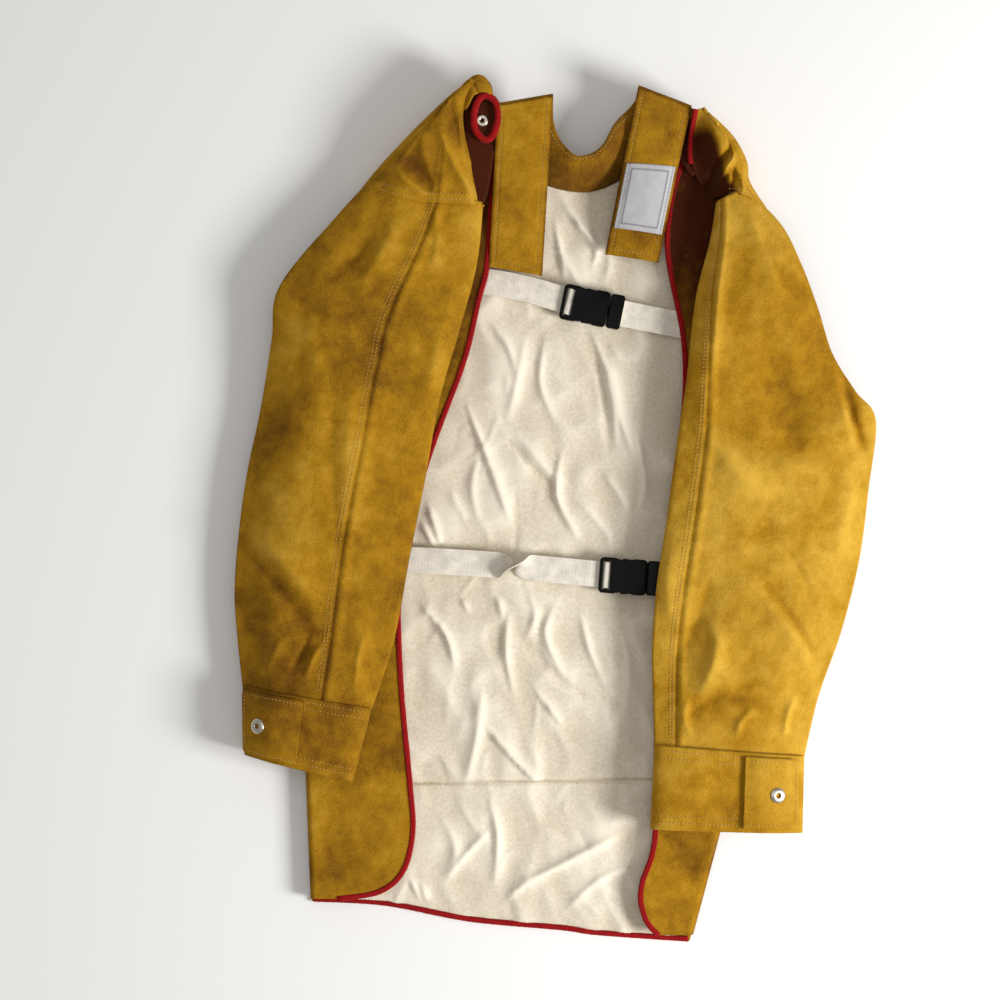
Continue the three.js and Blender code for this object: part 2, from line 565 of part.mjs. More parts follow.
// The housing's webbing end is at x = REAR and its mouth at x = 0.
function buildHousing(prefix, frame) {
  const b = BUCKLE;
  const cavity = b.width / 2 - b.wall - b.rail;
  const inner = b.height / 2 - b.wall;
  const web = WEB_GAP / 2;
  const slotA = REAR + b.rearBar;
  const slotB = slotA + b.webSlot + b.midBar;
  const windowX = -b.body + b.windowInset;
  const cuts = [
    box(slotA, slotA + b.webSlot, -web, web, -wide, wide),
    box(slotB, slotB + b.webSlot, -web, web, -wide, wide),
    box(REAR - 1, slotB + b.webSlot, -web, web, -wide, MID_BAR[0]),
    box(REAR - 1, slotA, -web, web, -wide, REAR_BAR_LOW),
    box(slotA, slotB, -web, web, MID_BAR[1], wide),
    box(-b.body + b.end, wide, -cavity, cavity, -inner, inner),
  ];
  for (const side of [-1, 1]) {
    const [near, far] = [side * (cavity - b.wall), side * wide];
    cuts.push(box(windowX, windowX + b.windowLength, Math.min(near, far), Math.max(near, far), -inner, inner));
    cuts.push(new THREE.CylinderGeometry(b.grip, b.grip, wide, 48).rotateX(Math.PI / 2)
      .translate(windowX + b.windowLength / 2, side * (b.width / 2 + b.grip - b.gripDepth), 0));
  }
  const block = solid(roundedBox(-REAR, b.width, b.height, b.corner).translate(REAR / 2, 0, 0));
  place(`${prefix}_buckle_housing`, geometryOf(cuts.reduce((body, cut) => body.subtract(solid(cut)), block)),
    "plastic", frame);
}

function buildPlug(prefix, frame) {
  const b = BUCKLE;
  const start = b.clearance;
  const end = start + b.base;
  const web = WEB_GAP / 2;
  const top = b.height / 2 - b.topInset;
  const tip = -b.body + b.windowInset + b.tongueShort;
  const block = roundedBox(b.base, b.width - 2 * b.baseInset, 2 * top, b.baseCorner);
  let plug = solid(block.translate(start + b.base / 2, 0, 0));
  plug = plug.subtract(solid(box(start + b.pocket, end + 1, -web, web, -wide, top - b.roof)));
  plug = plug.add(solid(box(start + b.pinIn, start + b.pinIn + b.pin, -web - 1, web + 1, ...PIN_BAR)));
  const [tongueHalf, tongueTop] = [b.tongueWidth / 2, b.tongueHeight / 2];
  plug = plug.add(solid(box(tip, start + b.wall, -tongueHalf, tongueHalf, -tongueTop, tongueTop)));
  place(`${prefix}_buckle_plug`, geometryOf(plug), "plastic", frame);
}

// A prong: an arm with a barbed head that fills the housing's side window.
function buildProngs(prefix, frame) {
  const b = BUCKLE;
  const root = b.clearance - GAP;
  const low = b.width / 2 - b.wall - b.rail - b.clearance - b.prong;
  const high = low + b.prong;
  const tip = -b.body + b.windowInset + b.prongShort;
  const shoulder = -b.body + b.windowInset + b.windowLength - 1;
  const crest = high + b.barb;
  const outline = [[root, low], [root, high], [shoulder, high], [shoulder, crest],
    [shoulder - b.barbLength + 0.2, crest + b.barbLean], [tip, high - 1], [tip, low]];
  for (const [which, side] of [["upper", 1], ["lower", -1]]) {
    const shape = new THREE.Shape(outline.map(([x, y]) => new THREE.Vector2(x, y * side)));
    place(`${prefix}_buckle_${which}_prong`, new THREE.ExtrudeGeometry(shape,
      { depth: b.prongHeight, bevelEnabled: false }).translate(0, 0, -b.prongHeight / 2), "plastic", frame);
  }
}

// A webbing ribbon whose middle line is a path of [x, z] points, seen from the side.
function ribbon(path, width) {
  const half = WEB_THICK / 2;
  const points = path.map(([x, z]) => new THREE.Vector2(x, z));
  const edge = (sign) => points.map((p, i) => {
    const before = points[Math.max(i - 1, 0)];
    const after = points[Math.min(i + 1, points.length - 1)];
    const t = after.clone().sub(before).normalize();
    return new THREE.Vector2(p.x - t.y * half * sign, p.y + t.x * half * sign);
  });
  const shape = new THREE.Shape([...edge(1), ...edge(-1).reverse()]);
  return new THREE.ExtrudeGeometry(shape, { depth: width, bevelEnabled: false }).rotateX(Math.PI / 2)
    .translate(0, width / 2, 0);
}

const STRAPS = {
  upper: { mouth: graded([[50, 191]])[0], angle: -11.5, leftEnd: -153 * GRADE.x, rightEnd: 78 * GRADE.x },
  lower: { mouth: graded([[86, -64.6]])[0], angle: -4.2, leftEnd: -256 * GRADE.x, rightEnd: 50 * GRADE.x },
};
const STRAP_DROP = 0.2; // of the webbing below the buckle's middle
const BUCKLE_Z = BACK_Z - GAP - WEB_THICK / 2; // the webbing is sewn under the back panels' edges
const TAIL_LENGTH = 22; // webbing folded back on itself and sewn
const TAIL_DROP = 0.9; // of the right tail below the buckle's pin
const LEVEL = 2.4; // length over which the right strap comes down from the plug's roof
const LEAD = 12; // length over which the left strap comes down to the rear bar

function buildStrap(prefix, strap) {
  const frame = new THREE.Group();
  frame.position.set(strap.mouth[0], strap.mouth[1], BUCKLE_Z);
  frame.rotation.z = THREE.MathUtils.degToRad(strap.angle);
  group.add(frame);
  buildHousing(prefix, frame);
  buildPlug(prefix, frame);
  buildProngs(prefix, frame);

  const b = BUCKLE;
  const lie = -STRAP_DROP;
  const [turn, near, far] = [1, 0.3, 1.6]; // distances from a corner at which the webbing's path bends
  // Left: under the rear bar, up the first slot, over the middle bar, down the second and back underneath.
  const slotA = REAR + b.rearBar + b.webSlot / 2;
  const slotB = slotA + b.webSlot + b.midBar;
  const enter = REAR_BAR_LOW - WEB_PASS;
  const over = MID_BAR[1] + WEB_PASS;
  const back = MID_BAR[0] - WEB_PASS;
  const left = [[strap.leftEnd, lie], [REAR - LEAD, lie], [REAR - turn, enter], [slotA - far, enter],
    [slotA - near, enter + near], [slotA, enter + turn], [slotA, over - turn], [slotA + near, over - near],
    [slotA + far, over], [slotB - far, over], [slotB - near, over - near], [slotB, over - turn],
    [slotB, back + turn], [slotB - near, back + near], [slotB - far, back], [REAR - TAIL_LENGTH, back]];
  place(`${prefix}_strap_left`, ribbon(left, WEB_WIDTH), "webbing", frame);
  // Right: in under the plug's roof, round its pin and back out below.
  const top = b.height / 2 - b.topInset - b.roof - WEB_PASS;
  const low = PIN_BAR[0] - WEB_PASS;
  const end = b.clearance + b.base;
  const pin = b.clearance + b.pinIn - WEB_PASS;
  const tail = low - TAIL_DROP;
  const right = [[strap.rightEnd, lie], [end + LEVEL, lie], [end - turn, top], [pin + far, top],
    [pin + near, top - near], [pin, top - turn], [pin, low + turn], [pin + near, low + near], [pin + far, low],
    [end, low], [end + 6, tail], [end + TAIL_LENGTH, tail]];
  place(`${prefix}_strap_right`, ribbon(right, WEB_WIDTH), "webbing", frame);
}

// ---------- neck tab: the bound end of the left back panel, curled over beside the collar ----------
const NECK_TAB = { centre: graded([[-70, 368]])[0], half: [9, 24], z: HEAD_TOP - 2.3, curl: 7, rim: 3.2 };
const NECK_SNAP = { radius: 6, height: 2.2, edge: 1, slope: 1.2, bore: 1.8, lip: 0.8 };

function buildNeckTab() {
  const { centre, half, z, curl, rim } = NECK_TAB;
  const oval = (radius, angle) => {
    const [c, s] = [Math.cos(angle), Math.sin(angle)];
    return new THREE.Vector3(centre[0] + half[0] * radius * c, centre[1] + half[1] * radius * s, z);
  };
  const disc = [];
  const steps = 20;
  for (let i = 0; i < steps; i++) {
    const p = oval(1, (i / steps) * 2 * Math.PI);
    disc.push([p.x, p.y]);
  }
  place("neck_tab", plate(disc, z - LEATHER - GAP, LEATHER), "leather");
  const shell = (u, v) => oval(1 + (rim * v) / half[0], -u * 2 * Math.PI).setZ(z + curl * v);
  place("neck_tab_binding", hoop(shell, steps, 2, BINDING_THICK), "binding");
  const { radius, height, edge, slope, bore, lip } = NECK_SNAP;
  const top = z + height;
  place("neck_snap_socket", lathe([[bore, z], [radius, z], [radius, z + edge], [radius - slope, top],
    [bore + lip, top], [bore, top - lip], [bore, z]]).translate(...centre, 0), "nickel");
}

buildFront();
buildBackPanels();
buildYoke("left_shoulder_yoke", LEFT_YOKE);
buildYoke("right_shoulder_yoke", RIGHT_YOKE);
buildSleeve("left", LEFT_SLEEVE);
buildSleeve("right", RIGHT_SLEEVE);
buildCuff("left", LEFT_SLEEVE, LEFT_SNAP);
buildCuff("right", RIGHT_SLEEVE, RIGHT_SNAP);
buildCollar();
buildStrap("upper", STRAPS.upper);
buildStrap("lower", STRAPS.lower);
buildNeckTab();

// The frame: the middle of the footprint, on the surface the jacket lies on.
const footprint = new THREE.Box3().setFromObject(group);
const middle = footprint.getCenter(new THREE.Vector3()).setZ(footprint.min.z);
for (const piece of group.children) {
  piece.position.sub(middle);
}

export default group;
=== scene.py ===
"""Leather welding jacket, laid on its front with its open back upward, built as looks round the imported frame.

Lengths in this file are millimetres unless a name or a property says otherwise. The outlines lie in the
pattern's own plan, which SHIFT brings onto the frame.
"""

import math

import bpy
import numpy as np
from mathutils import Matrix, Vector
from mathutils.geometry import delaunay_2d_cdt


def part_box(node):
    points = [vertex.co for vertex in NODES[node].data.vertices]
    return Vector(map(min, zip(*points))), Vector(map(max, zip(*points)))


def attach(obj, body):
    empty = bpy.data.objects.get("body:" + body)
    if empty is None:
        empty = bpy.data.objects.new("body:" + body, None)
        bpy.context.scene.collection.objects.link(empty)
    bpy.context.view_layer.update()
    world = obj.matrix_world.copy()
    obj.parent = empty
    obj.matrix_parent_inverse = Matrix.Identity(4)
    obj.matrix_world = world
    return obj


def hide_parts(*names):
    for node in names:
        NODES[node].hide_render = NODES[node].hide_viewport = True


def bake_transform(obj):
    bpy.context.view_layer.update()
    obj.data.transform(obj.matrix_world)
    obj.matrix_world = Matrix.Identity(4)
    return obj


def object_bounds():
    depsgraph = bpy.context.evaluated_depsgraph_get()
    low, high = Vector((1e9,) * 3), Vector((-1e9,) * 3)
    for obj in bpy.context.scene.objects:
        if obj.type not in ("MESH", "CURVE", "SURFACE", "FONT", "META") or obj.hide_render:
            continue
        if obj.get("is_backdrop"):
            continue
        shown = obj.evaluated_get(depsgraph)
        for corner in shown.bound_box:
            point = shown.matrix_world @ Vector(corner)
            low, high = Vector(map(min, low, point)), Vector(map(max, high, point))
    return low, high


bl_info = {
    "name": "Leather welding jacket",
    "version": (1, 0, 0),
    "blender": (4, 5, 0),
    "location": "3D View > Sidebar > Jacket",
    "description": "Builds an open-back leather welding jacket around its packed frame",
    "category": "Add Mesh",
}

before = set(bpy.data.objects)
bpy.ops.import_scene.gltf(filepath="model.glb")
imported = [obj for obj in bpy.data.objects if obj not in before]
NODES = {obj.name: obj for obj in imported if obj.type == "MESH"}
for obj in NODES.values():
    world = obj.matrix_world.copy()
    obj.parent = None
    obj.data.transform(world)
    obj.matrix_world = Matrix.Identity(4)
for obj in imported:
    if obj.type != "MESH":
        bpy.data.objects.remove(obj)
CAD_BOX = [list(corner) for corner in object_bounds()]
MM = 0.001
TINY, FAR = 1e-9, 1e9


def middle_mm(node):
    low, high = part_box(node)
    return np.array([(a + b) / 2 / MM for a, b in zip(low, high)])


def top_mm(node):
    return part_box(node)[1].z / MM


def low_mm(node):
    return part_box(node)[0].z / MM


# ---------- the pattern, listed from the collar down ----------
NECK_SNAP = (-70, 368)
SHIFT = middle_mm("neck_snap_socket")[:2] - NECK_SNAP
BODY_LEFT = [(-74, 399), (-130, 352), (-175, 311), (-212, 235), (-222, 171), (-234, 105), (-243, 10),
             (-243, -133), (-238, -249), (-232, -372)]
BODY_RIGHT = [(140, 376), (166, 345), (181, 314), (215, 235), (230, 171), (228, 57), (208, -86), (184, -200),
              (156, -306), (127, -410)]
HEM = [(-232, -372), (-162, -376), (-82, -391), (4, -399), (42, -404), (127, -410)]
NECKLINE = [(-74, 399), (-50, 352), (-18, 315), (20, 303), (58, 312), (96, 342), (140, 376)]
LEFT_EDGE = [(-56, 372), (-60, 294), (-64, 233), (-72, 200), (-86, 142), (-118, 55), (-142, -28), (-148, -86),
             (-145, -171), (-137, -257), (-134, -304), (-143, -342), (-166, -362), (-205, -368)]
RIGHT_EDGE = [(131, 368), (122, 340), (110, 304), (105, 261), (108, 228), (120, 166), (121, 105), (110, 10),
              (101, -86), (94, -180), (92, -306), (80, -351), (78, -370), (84, -390), (95, -402)]
LEFT_SIDE = [(-176, 302), (-214, 225), (-224, 160), (-236, 100), (-243, 10), (-243, -133), (-238, -249),
             (-233, -368)]
RIGHT_SIDE = [(178, 306), (214, 228), (229, 165), (227, 57), (208, -86), (184, -200), (156, -306), (130, -402)]
SLEEVES = {
    "left": {
        "outer": [(-177, 313), (-207, 280), (-262, 212), (-270, 161), (-281, 95), (-293, 38), (-301, -19),
                  (-305, -76), (-302, -123), (-297, -168)],
        "inner": [(-69, 291), (-75, 233), (-91, 171), (-110, 105), (-124, 28), (-139, -48), (-153, -123),
                  (-174, -189)],
        "cuff_outer": [(-297, -166), (-295, -231)],
        "cuff_inner": [(-174, -187), (-191, -256)],
        "seam": 0.62, "droop": 0.6, "side": -1, "tab": (0.03, 0.5),
    },
    "right": {
        "outer": [(179, 305), (213, 271), (232, 233), (248, 190), (262, 147), (284, 112), (303, 85), (296, 19),
                  (287, -47), (270, -114), (248, -176), (234, -234)],
        "inner": [(152, 292), (146, 256), (132, 200), (123, 123), (113, 57), (104, -10), (94, -76), (90, -133),
                  (91, -180), (92, -223)],
        "cuff_outer": [(234, -232), (232, -304)],
        "cuff_inner": [(92, -221), (88, -300)],
        "seam": 0.86, "droop": 0.35, "side": 1, "tab": (0.06, 0.42),
    },
}
YOKES = {
    "left": {"outer": [(-82, 405), (-98, 395), (-118, 378), (-145, 351), (-172, 323), (-189, 302)],
             "inner": [(-74, 406), (-84, 392), (-88, 368), (-82, 335), (-68, 289)], "sag": 5.0},
    "right": {"outer": [(141, 379), (158, 366), (172, 350), (182, 330), (185, 312), (201, 288)],
              "inner": [(132, 377), (129, 354), (130, 328), (146, 298)], "sag": -4.0},
}
COLLAR_SEWN = [(-57, 376), (-47, 348), (-20, 318), (20, 306), (54, 313), (92, 342), (128, 371)]
COLLAR_FREE = [(-3, 384), (-2, 366), (6, 350), (20, 333), (41, 345), (57, 366), (79, 393)]
FLAPS = {
    "left": {"top": [(-56, 381), (-3, 390)], "bottom": [(-64, 232), (-13, 223)], "side": -1},
    "right": {"top": [(77, 398), (127, 379)], "bottom": [(47, 244), (98, 236)], "side": 1},
}

# ---------- heights, from the frame ----------
BACK_TOP = top_mm("left_back_panel")
SLEEVE_REST = BACK_TOP + 1.6  # underside of a sleeve where it lies on the body
SLEEVE_TOP = top_mm("left_sleeve_upper_panel")
CUFF_HEIGHT = 24
LINING_REST = low_mm("lining_upper")


# ---------- settings that a user would change ----------
def linear(hex_colour):
    """An sRGB hex value as linear red, green and blue."""
    parts = [int(hex_colour[i:i + 2], 16) / 255 for i in (1, 3, 5)]
    return tuple(c / 12.92 if c <= 0.04045 else ((c + 0.055) / 1.055) ** 2.4 for c in parts)


def colour_property(name, description, hex_colour):
    return bpy.props.FloatVectorProperty(name=name, description=description, subtype="COLOR", size=3,
                                         min=0, max=1, default=linear(hex_colour))


def length_property(name, description, millimetres):
    return bpy.props.FloatProperty(name=name, description=description, unit="LENGTH", min=0,
                                   default=millimetres * MM)


class JacketSizes(bpy.types.PropertyGroup):
    """Sizes of the jacket's soft parts and sewing."""
    leather: length_property("Leather", "Thickness of the split cowhide", 1.6)
    lining: length_property("Lining", "Thickness of the cotton lining", 0.8)
    webbing: length_property("Webbing thickness", "Thickness of the strap webbing", 1.6)
    webbing_width: length_property("Webbing width", "Width of the strap webbing", 25)
    binding: length_property("Binding", "Width of the red binding that shows on one side", 5.4)
    stitch: length_property("Stitch", "Distance from one stitch to the next", 3.6)
    fold_depth: bpy.props.FloatProperty(name="Fold depth", description="Depth of the folds, 1 being as laid",
                                        min=0, default=1.0)


class JacketColours(bpy.types.PropertyGroup):
    """Colours of the jacket's materials."""
    # The leather ramp: its stops are reached by the nap's noise and also by the shade attribute, which adds
    # painted highlights on crests and painted shade in folds, hollows, gaps and undersides.
    leather_light: colour_property("Leather, light", "Brushed-up nap of the split leather", "#CBA038")
    leather_mid: colour_property("Leather, middle", "The split leather's main colour", "#A67811")
    leather_dark: colour_property("Leather, dark", "Nap brushed flat, and handled places", "#704907")
    # Painted shade: the deepest stop, at the bottoms of folds and seams and in hollows and gaps.
    leather_painted_shade: colour_property("Leather, deep", "The bottoms of folds and seams", "#431904")
    lining: colour_property("Lining", "Undyed cotton drill", "#E9E0CC")
    # The darker lining colour is reached by real stains and slubs, and by painted shade in the creases.
    lining_shade: colour_property("Lining, shade", "Creased and handled places of the lining", "#B5A182")
    binding: colour_property("Binding", "Red bias tape", "#9A0508")
    webbing: colour_property("Webbing", "Undyed cotton webbing", "#EFE7D8")
    plastic: colour_property("Plastic", "Moulded acetal of the buckles", "#020202")
    nickel: colour_property("Nickel", "Nickel plate of the snaps", "#C9C2B4")
    label: colour_property("Label", "Woven label", "#B4B2B4")
    label_line: colour_property("Label line", "Border woven into the label", "#77767C")
    thread: colour_property("Thread", "Sewing thread on the leather", "#D2AE62")
    hook: colour_property("Hook and loop", "Black hook and loop tape", "#0B0A0A")
    floor: colour_property("Floor", "Plain pale floor", "#F4F3F1")


def sizes():
    return bpy.context.scene.jacket_sizes


def colours():
    return bpy.context.scene.jacket_colours


# ---------- lines, noise and folds ----------
CURVE_STEPS = 24
FOLD_STEPS = 16
NOISE_CELLS = 64


def curve(points):
    """A smooth line through the points, as a function of the share of its length."""
    p = np.array(points, float)
    if len(p) == 2:
        return lambda t: p[0] + (p[1] - p[0]) * np.asarray(t, float)[..., None]
    q = np.vstack([p[0], p, p[-1]])
    t = np.linspace(0, 1, CURVE_STEPS, endpoint=False)[:, None]
    runs = []
    for p0, p1, p2, p3 in zip(q, q[1:], q[2:], q[3:]):
        v0, v1 = (p2 - p0) / 2, (p3 - p1) / 2
        cubic, square = 2 * p1 - 2 * p2 + v0 + v1, -3 * p1 + 3 * p2 - 2 * v0 - v1
        runs.append(cubic * t ** 3 + square * t ** 2 + v0 * t + p1)
    dense = np.vstack([*runs, p[-1:]])
    share = distances(dense)
    share /= share[-1]
    return lambda s: np.stack([np.interp(s, share, dense[:, k]) for k in range(p.shape[1])], -1)


def smooth(t):
    c = np.clip(t, 0, 1)
    return c * c * (3 - 2 * c)


def mix(a, b, t):
    return a + (b - a) * t


def unit(vectors):
    """Vectors along the last axis, brought to length 1."""
    return vectors / np.maximum(np.linalg.norm(vectors, axis=-1, keepdims=True), TINY)


def distances(path):
    """Each point's distance along a path from its start."""
    return np.r_[0, np.cumsum(np.linalg.norm(np.diff(path, axis=0), axis=1))]


def value_noise(x, y, seed):
    """Smooth noise from -1 to 1 with a feature size of 1."""
    table = np.random.default_rng(seed).uniform(-1, 1, (NOISE_CELLS, NOISE_CELLS))
    xi, yi = np.floor(x).astype(int), np.floor(y).astype(int)
    fx, fy = smooth(x - xi), smooth(y - yi)
    corner = lambda i, j: table[(xi + i) % NOISE_CELLS, (yi + j) % NOISE_CELLS]
    return mix(mix(corner(0, 0), corner(1, 0), fx), mix(corner(0, 1), corner(1, 1), fx), fy)


def undulation(x, y, scale, seed, octaves=3):
    """Noise whose largest features have this scale, with finer ones laid over them."""
    total = 0
    for k in range(octaves):
        finer = 2 ** k
        total = total + value_noise(x / scale * finer + 7.3 * k, y / scale * finer - 3.1 * k, seed + k) / finer
    return total


def fold_height(x, y, folds, crest=2.0):
    """The height that folds add at x, y. A fold is its line, its half width, its height and how much steeper
    its right-hand side is; a negative height makes a valley. A crest below 2 is sharper than a round one."""
    total = np.zeros_like(x)
    for line, width, height, steep in folds:
        dense = curve(line)(np.linspace(0, 1, FOLD_STEPS))
        nearest = np.full(x.shape, FAR)
        share = np.zeros_like(x)
        side = np.zeros_like(x)
        for i, (a, b) in enumerate(zip(dense, dense[1:])):
            d = b - a
            t = np.clip(((x - a[0]) * d[0] + (y - a[1]) * d[1]) / (d @ d), 0, 1)
            dx, dy = x - a[0] - t * d[0], y - a[1] - t * d[1]
            distance = np.hypot(dx, dy)
            closer = distance < nearest
            nearest = np.where(closer, distance, nearest)
            share = np.where(closer, (i + t) / (len(dense) - 1), share)
            side = np.where(closer, d[0] * dy - d[1] * dx, side)
        reach = np.where(side < 0, width / steep, width)
        fade = np.sin(np.pi * np.clip(share, 0.02, 0.98)) ** 0.7
        total += height * np.exp(-(nearest / reach) ** crest) * fade
    return total * sizes().fold_depth


# ---------- meshes ----------
def to_frame(points):
    """Pattern millimetres as frame metres."""
    p = np.array(points, float).reshape(-1, 3)
    return (p + [SHIFT[0], SHIFT[1], 0]) * MM


def new_object(name, points, faces, look, uv=None, shade=None):
    mesh = bpy.data.meshes.new(name)
    mesh.from_pydata(to_frame(points).tolist(), [], faces)
    mesh.materials.append(material(look))
    mesh.shade_smooth()
    if uv is not None:
        layer = mesh.uv_layers.new(name="UVMap")
        corners = np.empty(len(mesh.loops), np.int32)
        mesh.loops.foreach_get("vertex_index", corners)
        layer.data.foreach_set("uv", np.asarray(uv, float)[corners].ravel())
    attribute = mesh.attributes.new("shade", "FLOAT", "POINT")
    values = np.zeros(len(mesh.vertices)) if shade is None else np.asarray(shade, float).ravel()
    attribute.data.foreach_set("value", values.astype(np.float32))
    piece = bpy.data.objects.new(name, mesh)
    bpy.context.scene.collection.objects.link(piece)
    return piece


def grid_faces(rows, columns, closed):
    last = columns if closed else columns - 1
    return [(r * columns + c, r * columns + (c + 1) % columns, (r + 1) * columns + (c + 1) % columns,
             (r + 1) * columns + c) for r in range(rows - 1) for c in range(last)]


def grid_uv(grid):
    """Lengths along and across the grid, in metres."""
    across = np.cumsum(np.linalg.norm(np.diff(grid, axis=1, prepend=grid[:, :1]), axis=2), axis=1)
    down = np.cumsum(np.linalg.norm(np.diff(grid, axis=0, prepend=grid[:1]), axis=2), axis=0)
    return np.stack([across, down], -1).reshape(-1, 2) * MM


def grid_normals(grid, closed=False):
    if closed:
        wrapped = np.concatenate([grid[:, -1:], grid, grid[:, :1]], axis=1)
        du = (wrapped[:, 2:] - wrapped[:, :-2]) / 2
    else:
        du = np.gradient(grid, axis=1)
    return unit(np.cross(du, np.gradient(grid, axis=0)))


def facing_out(grid, closed):
    """1 if the grid's faces look outward, or upward on an open sheet, and -1 if they look the other way."""
    normal = grid_normals(grid, closed)
    if not closed:
        return 1 if normal[..., 2].sum() > 0 else -1
    away = grid - grid.mean(axis=1, keepdims=True)
    return 1 if (normal * away).sum() > 0 else -1


def thicken(piece, thickness):
    """Gives a surface its thickness, on the inner side of its outer face."""
    solid = piece.modifiers.new("thickness", "SOLIDIFY")
    solid.thickness = thickness * MM
    solid.offset = -1
    return piece


def fit(piece, body, slot, *replaced):
    """Fixes a piece to its body and hides the frame's solids that it stands for; slot is not used."""
    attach(piece, body)
    if replaced:
        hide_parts(*replaced)


def sheet_piece(name, grid, look, thickness, closed=False, shade=None):
    """A sheet of even thickness whose outer face is the grid, rows by columns of points."""
    rows, columns = grid.shape[:2]
    faces = grid_faces(rows, columns, closed)
    if facing_out(grid, closed) < 0:
        faces = [face[::-1] for face in faces]
    return thicken(new_object(name, grid.reshape(-1, 3), faces, look, grid_uv(grid), shade), thickness)


def evenly(shade):
    """The same shade all over a piece."""
    return lambda x, y: np.full_like(x, shade)


def filled_piece(name, outline, spacing, height, look, thickness, shade=None):
    """A sheet over a plan outline, at height(x, y), made of small triangles."""
    outline = np.array(outline, float)
    low, high = outline.min(0), outline.max(0)
    xs = np.arange(low[0] + spacing / 2, high[0], spacing)
    ys = np.arange(low[1] + spacing / 2, high[1], spacing * 0.87)
    gx, gy = np.meshgrid(xs, ys)
    gx = gx + np.where(np.arange(len(ys)) % 2, spacing / 2, 0)[:, None]
    inner = np.stack([gx.ravel(), gy.ravel()], 1)
    inner = inner[inside(inner, outline, spacing * 0.45)]
    count = len(outline)
    edges = [(i, (i + 1) % count) for i in range(count)]
    given = [Vector(p) for p in np.vstack([outline, inner]).tolist()]
    points, _, faces, *_ = delaunay_2d_cdt(given, edges, [], 1, 1e-4)
    plan = np.array([(p.x, p.y) for p in points])
    z = height(plan[:, 0], plan[:, 1])
    tint = None if shade is None else shade(plan[:, 0], plan[:, 1])
    piece = new_object(name, np.column_stack([plan, z]), [tuple(f) for f in faces], look, plan * MM, tint)
    return thicken(piece, thickness)


def inside(points, outline, margin):
    """Which points lie inside the outline and at least margin from it."""
    x, y = points.T
    hit = np.zeros(len(points), bool)
    near = np.full(len(points), FAR)
    for a, b in zip(outline, np.roll(outline, -1, axis=0)):
        d = b - a
        if d @ d < TINY:
            continue
        crosses = (a[1] > y) != (b[1] > y)
        if a[1] != b[1]:
            hit ^= crosses & (x < (b[0] - a[0]) * (y - a[1]) / (b[1] - a[1]) + a[0])
        t = np.clip(((x - a[0]) * d[0] + (y - a[1]) * d[1]) / (d @ d), 0, 1)
        near = np.minimum(near, np.hypot(x - a[0] - t * d[0], y - a[1] - t * d[1]))
    return hit & (near > margin)


def swept_piece(name, path, section, look, up, thickness_wobble=0.0, seed=0):
    """A closed section, points across and up, carried along a path. up is each point's own up direction."""
    path = np.array(path, float)
    run = unit(np.gradient(path, axis=0))
    across = unit(np.cross(run, np.broadcast_to(np.array(up, float), path.shape)))
    lift = np.cross(across, run)
    s = np.array(section, float)
    rings = path[:, None] + across[:, None] * s[None, :, :1] + lift[:, None] * s[None, :, 1:]
    if thickness_wobble:
        wobble = np.random.default_rng(seed).normal(0, thickness_wobble, rings.shape[:2])
        rings = rings + (rings - path[:, None]) * wobble[..., None]
    rows, columns = rings.shape[:2]
    faces = grid_faces(rows, columns, True)
    faces += [tuple(range(columns))[::-1], tuple(range((rows - 1) * columns, rows * columns))]
    if facing_out(rings, True) < 0:
        faces = [face[::-1] for face in faces]
    uv = np.stack(np.broadcast_arrays(s[:, 0], distances(path)[:, None]), -1)
    return new_object(name, rings.reshape(-1, 3), faces, look, uv.reshape(-1, 2) * MM)


def rounded_section(width, height, corner, steps=3):
    """Outline of a strip's cross section with rounded corners."""
    centres = [(width / 2 - corner, height / 2 - corner), (-width / 2 + corner, height / 2 - corner),
               (-width / 2 + corner, -height / 2 + corner), (width / 2 - corner, -height / 2 + corner)]
    points = []
    for quarter, (cx, cy) in enumerate(centres):
        for k in range(steps + 1):
            angle = (quarter + k / steps) * math.pi / 2
            points.append((cx + corner * math.cos(angle), cy + corner * math.sin(angle)))
    return points


def on_grid(grid, rows, columns):
    """Points of a grid at fractional rows and columns."""
    r, c = np.broadcast_arrays(np.asarray(rows, float), np.asarray(columns, float))
    r = np.clip(r, 0, grid.shape[0] - 1.001)
    c = np.clip(c, 0, grid.shape[1] - 1.001)
    ri, ci = r.astype(int), c.astype(int)
    fr, fc = (r - ri)[..., None], (c - ci)[..., None]
    return mix(mix(grid[ri, ci], grid[ri, ci + 1], fc), mix(grid[ri + 1, ci], grid[ri + 1, ci + 1], fc), fr)


def stitches(name, lines, lift=0.0, look="thread", length=2.3, radius=0.34):
    """Rows of sewn stitches, each a small spindle half sunk along a line of points, lifted a little."""
    points, faces = [], []
    ring = [(math.cos(k * math.pi / 2), math.sin(k * math.pi / 2)) for k in range(4)]
    for path in lines:
        path = np.array(path, float) + [0, 0, lift]
        distance = distances(path)
        at = lambda s: np.stack([np.interp(s, distance, path[:, k]) for k in range(3)], -1)
        for middle in np.arange(length, distance[-1] - length, sizes().stitch / MM):
            a, b = at(middle - length / 2), at(middle + length / 2)
            run = unit(b - a)
            side = unit(np.cross(run, (0, 0, 1.0)))
            proud = np.cross(side, run)
            base = len(points)
            points.append(a)
            for share in (0.25, 0.75):
                centre = a + (b - a) * share + proud * radius * 0.5
                points.extend(centre + side * radius * c + proud * radius * s for c, s in ring)
            points.append(b)
            for k in range(4):
                n = (k + 1) % 4
                faces += [(base, base + 1 + n, base + 1 + k),
                          (base + 1 + k, base + 1 + n, base + 5 + n, base + 5 + k),
                          (base + 9, base + 5 + k, base + 5 + n)]
    return new_object(name, points, faces, look)


